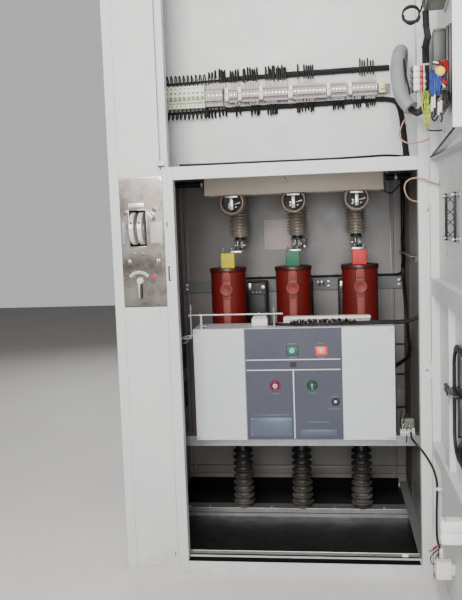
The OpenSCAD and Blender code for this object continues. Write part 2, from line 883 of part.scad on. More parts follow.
// Stubs of the drive shaft on both sides, in front of the isolator frame
shaft_r = 12;
shaft_z = isolator_z + 50;
module isolator_shaft() {
    ear_t = 12;
    ear_h = 40;
    ear_d = 36;
    plate_t = 8;
    d = isolator_front - shaft_r - 8;
    x1 = isolator_x1;
    color([0.16, 0.17, 0.17]) {
        rod_x(left_in + seat, isolator_x0 + ear_t, d, shaft_z, shaft_r);
        slab(isolator_x0, isolator_x0 + ear_t, isolator_front - ear_d, isolator_front - seat,
             shaft_z - ear_h / 2, shaft_z + ear_h / 2);
        slab(x1 + seat, x1 + plate_t, isolator_front, insulator_front, isolator_z, bar_z1 - 2);
        rod_x(x1 + plate_t - past, right_in - seat, isolator_front + 40, shaft_z, shaft_r);
    }
}

/* Phase connections */

function pole_x(i) = breaker_x + pole_shift + i * pole_pitch;
box_z1 = carrier_top + seat + box_h;
rim_z = box_z1 + pole_rise;
sleeve_w = 57;
sleeve_h = 60;
sleeve_t = 14;
link_t = 8;
function link_x(i) = (phase_x(i) + pole_x(i)) / 2;
contact_z0 = rim_z + sleeve_h + link_t;

// Caps, fixed contacts and flat links from the insulators to the poles
module phase_links() {
    cap_r = 22;
    cap_h = 12;
    blade_t = 8;
    blade_gap = 16;
    blade_d = 40;
    link_w = 68;
    color([0.72, 0.72, 0.70]) for (i = [-1, 0, 1]) {
        rod_z(phase_x(i), insulator_front, upper_rib_z0 - cap_h, upper_rib_z0 - seat, cap_r);
        for (s = [-1, 1]) translate([s * (blade_gap + blade_t) / 2, 0, 0])
            slab(phase_x(i) - blade_t / 2, phase_x(i) + blade_t / 2, insulator_front - blade_d / 2,
                 insulator_front + blade_d / 2, contact_z0 - past, upper_rib_z0 - cap_h + past);
        slab(link_x(i) - link_w / 2, link_x(i) + link_w / 2, pole_front - 12,
             insulator_front + 26, contact_z0 - link_t + seat, contact_z0);
    }
}

// Flat bars in coloured shrink sleeve, standing on the poles
sleeve_colors = [[0.80, 0.78, 0.08], [0.02, 0.38, 0.24], [0.82, 0.10, 0.10]];
module phase_sleeves() {
    for (i = [-1, 0, 1]) color(sleeve_colors[i + 1])
        slab(pole_x(i) - sleeve_w / 2, pole_x(i) + sleeve_w / 2, pole_front - sleeve_t / 2,
             pole_front + sleeve_t / 2, rim_z + seat, contact_z0 - link_t);
}

/* Breaker */

box_back = box_front + box_d;

// Cast poles with a rim, a front rib and two feet to the housing
module breaker_poles() {
    r = pole_dia / 2;
    z0 = rim_z - pole_h;
    rim_over = 4;
    rib_out = 6;
    boss_out = 10;
    foot_low = 10;
    foot_high = 160;
    color([0.52, 0.12, 0.09]) for (i = [-1, 0, 1]) {
        rod_z(pole_x(i), pole_front, z0, rim_z - rim_h, r);
        rod_z(pole_x(i), pole_front, rim_z - rim_h - past, rim_z, r + rim_over);
        slab(pole_x(i) - pole_rib_w / 2, pole_x(i) + pole_rib_w / 2, pole_front - r - rib_out,
             pole_front, z0 + 40, rim_z - 4);
        rod_y(pole_x(i), rim_z - boss_drop, pole_front - r - boss_out, pole_front, boss_dia / 2);
        for (z = [z0 + foot_low, z0 + foot_high])
            slab(pole_x(i) - foot_w / 2, pole_x(i) + foot_w / 2, box_back + seat,
                 pole_front - r + 14, z, z + foot_h);
    }
}

face_t = 3;
face_x0 = breaker_x + face_x - face_w / 2;
face_x1 = breaker_x + face_x + face_w / 2;
off_x = face_x0 + 112;
on_x = face_x0 + 253;
button_up = 214;
button_z = carrier_top + button_up;
button_gap = 0.5;
button_out = 8;
well_d = button_travel + 6;

// Closed sheet-metal housing of the spring drive, with wells for the buttons
module breaker_housing() {
    color([0.78, 0.80, 0.82]) difference() {
        slab(box_x0, box_x1, box_front, box_back, carrier_top + seat, box_z1);
        for (x = [off_x, on_x])
            rod_y(x, button_z, box_front - past, box_front + well_d, button_r + button_gap);
    }
}

// Dark front plate with the bores of the two buttons
module breaker_face() {
    z0 = carrier_top + seat + 2;
    color([0.37, 0.38, 0.43]) difference() {
        slab(face_x0, face_x1, box_front - face_t - seat, box_front - seat, z0, box_z1 - 2);
        for (x = [off_x, on_x])
            rod_y(x, button_z, box_front - face_t - past, box_front + past, button_r + button_gap);
    }
}

// A push button whose head stands in front of the plate
module push_button(x) {
    rod_y(x, button_z, box_front - face_t - seat - button_out, box_front - seat, button_r);
}

module off_button() {
    color([0.70, 0.08, 0.32]) push_button(off_x);
}

module on_button() {
    color([0.02, 0.38, 0.26]) push_button(on_x);
}

// Channel under the breaker, from lining to lining
module carrier_rail() {
    t = 3;
    d1 = carrier_front + 60;
    z0 = carrier_top - carrier_h;
    color([0.70, 0.71, 0.71]) difference() {
        slab(left_in + seat, right_in - seat, carrier_front, d1, z0, carrier_top);
        slab(left_in, right_in, carrier_front + t, d1 + past, z0 + t, carrier_top - t);
    }
}

// Terminal strip with its white cover, and the small block beside it
module terminal_strip() {
    strip_l = 334;
    strip_d = 42;
    strip_h = 34;
    block_l = 63;
    block_d = 50;
    block_h = 38;
    d0 = box_front + 60;
    x0 = breaker_x - 35;
    block_x0 = x0 - 125;
    color([0.85, 0.86, 0.86]) {
        slab(x0, x0 + strip_l, d0, d0 + strip_d, box_z1 + seat, box_z1 + strip_h);
        slab(block_x0, block_x0 + block_l, d0, d0 + block_d, box_z1 + seat, box_z1 + block_h);
    }
}

// Interlock rods over and beside the housing
module interlock_rods() {
    d = box_front + 20;
    r = 4;
    z = box_z1 + 53;
    drop = 90;
    color([0.80, 0.80, 0.80]) {
        rod_z(box_x0 - 10, d, z - drop - r, z + 42, r);
        rod_x(box_x0 - 14, breaker_x - 35, d, z, r);
        rod_z(breaker_x - 68, d, box_z1 + seat, z + 26, r);
        slab(box_x0 + 28, box_x0 + 36, d - 2 * r, d + 2 * r, box_z1 + seat, z);
        rod_x(left_in + seat, box_x0 - 8, d, z - drop, r + 1);
    }
}

module junction_block() {
    w = 56;
    d = 40;
    h = 32;
    x1 = right_in - 20;
    color([0.75, 0.76, 0.74])
        slab(x1 - w, x1, carrier_front, carrier_front + d, carrier_top + seat, carrier_top + h);
}

/* Lower insulators */

function lower_ix(i) = lower_x + i * lower_pitch;
lower_d = lower_front + lower_rail_d / 2;
lower_z0 = base_h - rail_t + seat;
lower_z1 = lower_z0 + lower_ins_h;

module lower_insulators() {
    head_h = 20;
    shed_depth = 16;
    color([0.22, 0.22, 0.22]) for (i = [-1, 0, 1]) {
        translate([lower_ix(i), front_y + lower_d, lower_z0])
            ribbed(lower_shed_r - shed_depth, lower_shed_r, lower_ins_h - head_h, lower_sheds);
        rod_z(lower_ix(i), lower_d, lower_z1 - head_h - past, lower_z1,
              lower_shed_r - shed_depth - 2);
    }
}

// Flat bars from the lower insulators up to the poles
module lower_bars() {
    w = 50;
    t = 8;
    z1 = rim_z - pole_h + 60;
    d1 = pole_front + pole_dia / 2 + seat;
    color([0.70, 0.70, 0.68]) for (i = [-1, 0, 1]) {
        slab(lower_ix(i) - w / 2, lower_ix(i) + w / 2, lower_d - w / 2, d1 + t,
             lower_z1 + seat, lower_z1 + t);
        slab(lower_ix(i) - w / 2, lower_ix(i) + w / 2, d1, d1 + t, lower_z1 + t - past, z1);
    }
}

/* Looms in the bay */

module wall_looms() {
    r = 8;
    back_r = 6;
    x = right_in - r - seat;
    color([0.05, 0.05, 0.05]) {
        cord([[x, 826, 1420], [x, 824, 1340], [x, 828, 1220], [x, 850, 1150], [x, 812, 1092],
              [x, 846, 1044], [x, 822, 990], [x, 760, 930], [x, 716, 880], [x, 680, 820],
              [x, 630, 765], [x, 585, 720], [x - 14, 552, 692], [x - 40, 500, 684],
              [x - 66, 440, 682], [box_x1 + 8, 400, 681]], r, [1, 0.2, 0]);
        rod_x(box_x0 + 145, x - 20, bay_d - back_r - seat, wall_rail_top + back_r + 3, back_r);
    }
}

/* Back wall */

// Rail across the back wall
module wall_rail() {
    color([0.70, 0.71, 0.71])
        slab(left_in + seat, right_in - seat, bay_d - seat - wall_rail_d, bay_d - seat,
             wall_rail_top - wall_rail_h, wall_rail_top);
}

// Black resin transformers bolted on that rail, each with two terminal studs
module current_transformers() {
    stud_r = 7;
    stud_l = 16;
    d1 = bay_d - 2 * seat - wall_rail_d;
    d0 = d1 - ct_d;
    color([0.04, 0.04, 0.04]) for (i = [-1, 0, 1]) {
        x = breaker_x + ct_shift + i * ct_pitch;
        slab(x - ct_w / 2, x + ct_w / 2, d0, d1, wall_rail_top - ct_h, wall_rail_top);
        for (s = [-1, 1])
            rod_y(x + s * ct_w / 3, wall_rail_top - ct_w / 4, d0 - stud_l, d0 + past, stud_r);
    }
}

/* Drives in the strip */

axle_in = 62;
axle_x = strip_x0 + axle_in;
axle_z = plate_z0 + axle_up;
axle_d = 12;
upper_disc_x = axle_x - disc_pitch / 2;
lower_disc_x = axle_x + disc_pitch / 2;
knob_x = strip_x0 + 112;
knob_up = 324;
knob_z = plate_z0 + knob_up;
knob_r = 8;
selector_x = axle_x;
selector_z = plate_z0 + selector_up;
spindle_r = 6;
bore_gap = 0.1;
disc_room = 14;
disc_slot_w = disc_pitch + disc_t + disc_room;

// Polished plate with the window for the discs and the bores
module drive_plate() {
    w = disc_slot_w;
    h = 2 * sqrt(disc_r * disc_r - axle_d * axle_d) + disc_room;
    color([0.78, 0.75, 0.71]) difference() {
        strip_door(plate_z0, plate_z1, tray_gap);
        slab(axle_x - w / 2, axle_x + w / 2, -past, sheet_t + past, axle_z - h / 2, axle_z + h / 2);
        rod_y(knob_x, knob_z, -past, sheet_t + past, knob_r + bore_gap);
        rod_y(selector_x, selector_z, -past, sheet_t + past, spindle_r + bore_gap);
    }
}

// Two ears behind the plate that hold the drive axle
module drive_bracket() {
    ear_t = 6;
    ear_h = 80;
    ear_x = disc_slot_w / 2 + 4;
    color([0.30, 0.30, 0.31]) {
        for (s = [-1, 1])
            slab(axle_x + s * ear_x - ear_t / 2, axle_x + s * ear_x + ear_t / 2, sheet_t + seat,
                 axle_d + 30, axle_z - ear_h / 2, axle_z + ear_h / 2);
        rod_x(axle_x - ear_x, axle_x + ear_x, axle_d, axle_z, axle_r);
    }
}

// A drive disc with a square socket in its rim for the lever
module drive_disc(x) {
    socket_w = 8;
    socket_h = 18;
    socket_d = 30;
    socket_up = 8;
    difference() {
        rod_x(x - disc_t / 2, x + disc_t / 2, axle_d, axle_z, disc_r);
        rod_x(x - disc_t, x + disc_t, axle_d, axle_z, axle_r + bore_gap / 2);
        slab(x - socket_w / 2, x + socket_w / 2, axle_d - disc_r - past,
             axle_d - disc_r + socket_d, axle_z + socket_up, axle_z + socket_up + socket_h);
    }
}

module upper_drive_disc() {
    color([0.80, 0.79, 0.76]) drive_disc(upper_disc_x);
}

module lower_drive_disc() {
    color([0.80, 0.79, 0.76]) drive_disc(lower_disc_x);
}

module locking_knob() {
    knob_out = 34;
    head_l = 18;
    color([0.85, 0.85, 0.84]) {
        rod_y(knob_x, knob_z, -knob_out, 14, knob_r);
        rod_y(knob_x, knob_z, -knob_out, head_l - knob_out, knob_r + 3);
    }
}

module selector_lever() {
    lever_out = 14;
    lever_l = 62;
    lever_w = 12;
    lever_t = 8;
    hub_r = 10;
    color([0.14, 0.14, 0.15]) {
        rod_y(selector_x, selector_z, -lever_out, 12, spindle_r);
        rod_y(selector_x, selector_z, -lever_out, lever_t + 1 - lever_out, hub_r);
        slab(selector_x - lever_w / 2, selector_x + lever_w / 2, -lever_out,
             lever_t - lever_out, selector_z - lever_l, selector_z);
    }
}

base_sills();
base_rails();
lower_rail();
floor_plates();
earth_bar();
left_post();
mid_post();
right_post();
frame_bars();
top_panel();
upper_blank_door();
drive_plate();
drive_bracket();
upper_drive_disc();
lower_drive_disc();
locking_knob();
selector_lever();
lower_blank_door();
side_sheets();
rear_posts();
rear_covers();
roof_plate();
bay_linings();
back_wall();
ceiling_plate();
lv_back_panel();
lv_breakers();
lv_terminals();
lv_looms();
lv_conduit();
lv_door();
lv_door_devices();
isolator_frame();
isolator_bushings();
isolator_insulators();
isolator_contacts();
isolator_shaft();
phase_links();
phase_sleeves();
breaker_poles();
breaker_housing();
breaker_face();
off_button();
on_button();
carrier_rail();
terminal_strip();
interlock_rods();
junction_block();
lower_insulators();
lower_bars();
wall_looms();
wall_rail();
current_transformers();
hinge_pins();
main_door_panel();
main_door_ribs();
main_door_window();
main_door_lock();
main_door_blocks();
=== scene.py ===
import math
import random

import bmesh
import bpy
from mathutils import Matrix, Vector


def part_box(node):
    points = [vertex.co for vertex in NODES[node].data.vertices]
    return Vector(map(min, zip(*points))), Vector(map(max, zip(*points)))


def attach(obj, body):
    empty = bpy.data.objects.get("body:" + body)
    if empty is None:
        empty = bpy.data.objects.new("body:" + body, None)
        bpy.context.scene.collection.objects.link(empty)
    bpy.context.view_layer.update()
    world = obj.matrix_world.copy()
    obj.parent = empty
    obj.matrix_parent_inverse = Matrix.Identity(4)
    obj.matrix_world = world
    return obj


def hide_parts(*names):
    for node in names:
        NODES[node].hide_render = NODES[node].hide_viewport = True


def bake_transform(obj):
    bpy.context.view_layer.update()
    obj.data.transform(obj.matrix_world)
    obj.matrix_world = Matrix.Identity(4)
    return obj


bl_info = {
    "name": "Breaker Bay",
    "version": (1, 0, 0),
    "blender": (4, 5, 0),
    "location": "View3D > Sidebar > Breaker Bay",
    "description": "Finishes and detail pieces for a metal-enclosed breaker bay",
    "category": "Object",
}

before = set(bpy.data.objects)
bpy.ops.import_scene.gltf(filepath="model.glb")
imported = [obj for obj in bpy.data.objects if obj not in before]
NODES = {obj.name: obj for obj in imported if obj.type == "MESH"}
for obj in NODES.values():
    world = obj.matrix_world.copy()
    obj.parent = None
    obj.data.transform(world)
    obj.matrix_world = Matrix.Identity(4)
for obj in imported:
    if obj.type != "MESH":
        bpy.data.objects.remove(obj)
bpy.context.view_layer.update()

AXES = {
    "x": Vector((1, 0, 0)), "-x": Vector((-1, 0, 0)),
    "d": Vector((0, 1, 0)), "-d": Vector((0, -1, 0)),
    "z": Vector((0, 0, 1)), "-z": Vector((0, 0, -1)),
}


# Sizes and colours

def tone(red, green, blue):
    """A display colour from 0 to 255 as the linear colour that a shader takes."""
    return tuple(
        c / 12.92 if c <= 0.04045 else ((c + 0.055) / 1.055) ** 2.4
        for c in (red / 255, green / 255, blue / 255)
    )


def colour(name, description, value):
    return bpy.props.FloatVectorProperty(
        name=name, description=description, default=value,
        size=3, min=0.0, max=1.0, subtype="COLOR",
    )


def length(name, description, value, low=0.0, high=1.0):
    return bpy.props.FloatProperty(
        name=name, description=description, default=value,
        min=low, max=high, subtype="DISTANCE", unit="LENGTH",
    )


class BayColours(bpy.types.PropertyGroup):
    cabinet: colour("Cabinet", "Powder coat of the posts, doors and covers", tone(206, 207, 207))
    bay: colour("Bay lining", "Paint inside the breaker bay", tone(134, 128, 124))
    poles: colour("Poles", "Cast resin of the three breaker poles", tone(108, 21, 17))
    housing: colour("Housing", "Paint of the drive housing", tone(205, 208, 212))
    face: colour("Face plate", "Paint of the drive's face plate", tone(72, 74, 88))
    first_phase: colour("First phase", "Sleeve of the left bar", tone(206, 194, 8))
    second_phase: colour("Second phase", "Sleeve of the middle bar", tone(20, 112, 78))
    third_phase: colour("Third phase", "Sleeve of the right bar", tone(214, 46, 46))
    conduit: colour("Conduit", "Plastic of the door's wiring conduit", tone(146, 149, 152))
    wiring: colour("Wiring", "Insulation of the control wires", tone(8, 8, 9))


class BaySizes(bpy.types.PropertyGroup):
    sheet_edge: length("Sheet edge", "Rounding of folded sheet edges", 0.0008, 0.0001, 0.003)
    wire_radius: length("Wire radius", "Half the thickness of a control wire", 0.0016, 0.0008, 0.003)
    shed_radius: length("Shed radius", "Outer radius of an upper insulator's sheds", 0.045, 0.041, 0.047)
    lower_shed_radius: length("Lower shed radius", "Outer radius of a lower insulator's sheds", 0.046, 0.038, 0.05)
    conduit_radius: length("Conduit radius", "Outer radius of the corrugated conduit", 0.023, 0.015, 0.025)
    module_width: length("Module width", "Width of one small breaker on the rail", 0.0165, 0.012, 0.02)
    light_power: bpy.props.FloatProperty(
        name="Light power", description="Strength of the stage's key light",
        default=150.0, min=0.0, unit="POWER",
    )


def colours():
    return bpy.context.scene.bay_colours


def sizes():
    return bpy.context.scene.bay_sizes


# Finishes

class Nodes:
    """A node tree that is filled node by node: a value that is a socket is linked, any other is set."""

    def __init__(self, tree):
        self.tree = tree

    def add(self, kind, values=None, **settings):
        """A new node; the values go to its inputs and the settings to the node itself."""
        node = self.tree.nodes.new("ShaderNode" + kind if not kind.startswith("NodeGroup") else kind)
        for name, value in settings.items():
            setattr(node, name, value)
        for name, value in (values or {}).items():
            self.put(node.inputs[name], value)
        return node

    def put(self, socket, value):
        if isinstance(value, bpy.types.NodeSocket):
            self.tree.links.new(value, socket)
        else:
            socket.default_value = value

    # the outputs of the kinds of node that are used most
    def noise(self, place, scale, detail, roughness=0.5):
        values = {"Vector": place, "Scale": scale, "Detail": detail, "Roughness": roughness}
        return self.add("TexNoise", values).outputs["Fac"]

    def math(self, operation, first, second, **settings):
        return self.add("Math", {0: first, 1: second}, operation=operation, **settings).outputs[0]

    def ramp(self, value, limits, **settings):
        return self.add("MapRange", {"Value": value, **limits}, **settings).outputs["Result"]

    def mix_colour(self, factor, first, second):
        """The colours' sockets of a mix node are the seventh and the eighth."""
        return self.add("Mix", {"Factor": factor, 6: first, 7: second}, data_type="RGBA").outputs[2]


def new_group(name, inputs, output, kind):
    """A shared effect's tree with its inputs and its one output."""
    tree = bpy.data.node_groups.new(name, "ShaderNodeTree")
    kinds = {"C": "NodeSocketColor", "V": "NodeSocketVector", "F": "NodeSocketFloat"}
    for label, letter, value in inputs:
        tree.interface.new_socket(name=label, in_out="INPUT", socket_type=kinds[letter]).default_value = value
    tree.interface.new_socket(name=output, in_out="OUTPUT", socket_type=kinds[kind])
    nodes = Nodes(tree)
    return nodes, nodes.add("NodeGroupInput").outputs, nodes.add("NodeGroupOutput").inputs[output]


PLACE = ("Place", "V", (0, 0, 0))
WHITE = (1, 1, 1, 1)
DUST_COLOUR = (0.3, 0.27, 0.23, 1)


def cloudy_colour_group():
    """Two near colours in soft clouds, with a finer speckle over them."""
    nodes, given, out = new_group("Cloudy colour", [
        PLACE, ("Base", "C", WHITE), ("Second", "C", WHITE),
        ("Scale", "F", 5.0), ("Amount", "F", 0.5), ("Speckle", "F", 0.1),
    ], "Color", "C")
    cloud = nodes.noise(given["Place"], given["Scale"], 4.0, 0.6)
    spread = nodes.ramp(cloud, {"From Min": 0.34, "From Max": 0.66}, interpolation_type="SMOOTHSTEP")
    share = nodes.math("MULTIPLY", spread, given["Amount"])
    speckle = nodes.noise(given["Place"], nodes.math("MULTIPLY", given["Scale"], 23.0), 2.0)
    dots = nodes.ramp(speckle, {"From Min": 0.45, "From Max": 0.75})
    both = nodes.math("ADD", share, nodes.math("MULTIPLY", dots, given["Speckle"]), use_clamp=True)
    nodes.put(out, nodes.mix_colour(both, given["Base"], given["Second"]))
    return nodes.tree


def fine_grain_group():
    """A fine relief, drawn out along the axes with small stretch values."""
    nodes, given, out = new_group("Fine grain", [
        PLACE, ("Stretch", "V", (1, 1, 1)), ("Scale", "F", 500.0), ("Depth", "F", 0.00002),
    ], "Normal", "V")
    drawn = nodes.add("VectorMath", {0: given["Place"], 1: given["Stretch"]}, operation="MULTIPLY")
    grain = nodes.noise(drawn.outputs[0], given["Scale"], 2.0, 0.55)
    bump = nodes.add("Bump", {"Strength": 1.0, "Distance": given["Depth"], "Height": grain})
    nodes.put(out, bump.outputs["Normal"])
    return nodes.tree


def uneven_gloss_group():
    """Roughness between two values, in patches with fine handling marks."""
    nodes, given, out = new_group("Uneven gloss", [
        PLACE, ("Low", "F", 0.3), ("High", "F", 0.5), ("Scale", "F", 9.0),
    ], "Roughness", "F")
    patch = nodes.noise(given["Place"], given["Scale"], 5.0, 0.7)
    level = nodes.ramp(patch, {"From Min": 0.3, "From Max": 0.7})
    mix = nodes.add("Mix", {"Factor": level, 2: given["Low"], 3: given["High"]})
    nodes.put(out, mix.outputs[0])
    return nodes.tree


def settled_dust_group():
    """Dust that is thickest near the ground and thins out upwards."""
    nodes, given, out = new_group("Settled dust", [
        PLACE, ("Color", "C", WHITE), ("Dust", "C", DUST_COLOUR), ("Height", "F", 0.5), ("Amount", "F", 0.3),
    ], "Color", "C")
    up = nodes.add("SeparateXYZ", {0: given["Place"]}).outputs["Z"]
    limits = {"From Max": given["Height"], "To Min": 1.0, "To Max": 0.0}
    fall = nodes.ramp(up, limits, interpolation_type="SMOOTHSTEP")
    patch = nodes.noise(given["Place"], 14.0, 6.0, 0.7)
    share = nodes.math("MULTIPLY", fall, nodes.ramp(patch, {"From Min": 0.3, "From Max": 0.7}))
    scaled = nodes.math("MULTIPLY", share, given["Amount"], use_clamp=True)
    nodes.put(out, nodes.mix_colour(scaled, given["Color"], given["Dust"]))
    return nodes.tree


def plated_spangle_group():
    """The crystal patches of plated steel."""
    nodes, given, out = new_group("Plated spangle", [
        PLACE, ("Color", "C", WHITE), ("Scale", "F", 60.0), ("Amount", "F", 0.15),
    ], "Color", "C")
    cells = nodes.add("TexVoronoi", {"Vector": given["Place"], "Scale": given["Scale"]})
    grey = nodes.add("RGBToBW", {0: cells.outputs["Color"]}).outputs[0]
    swing = nodes.math("MULTIPLY", nodes.ramp(grey, {"To Min": -0.5, "To Max": 0.5}), given["Amount"])
    shaded = nodes.add("HueSaturation", {"Value": nodes.math("ADD", swing, 1.0), "Color": given["Color"]})
    nodes.put(out, shaded.outputs["Color"])
    return nodes.tree


GROUP_MAKERS = {
    "Cloudy colour": cloudy_colour_group, "Fine grain": fine_grain_group, "Uneven gloss": uneven_gloss_group,
    "Settled dust": settled_dust_group, "Plated spangle": plated_spangle_group,
}


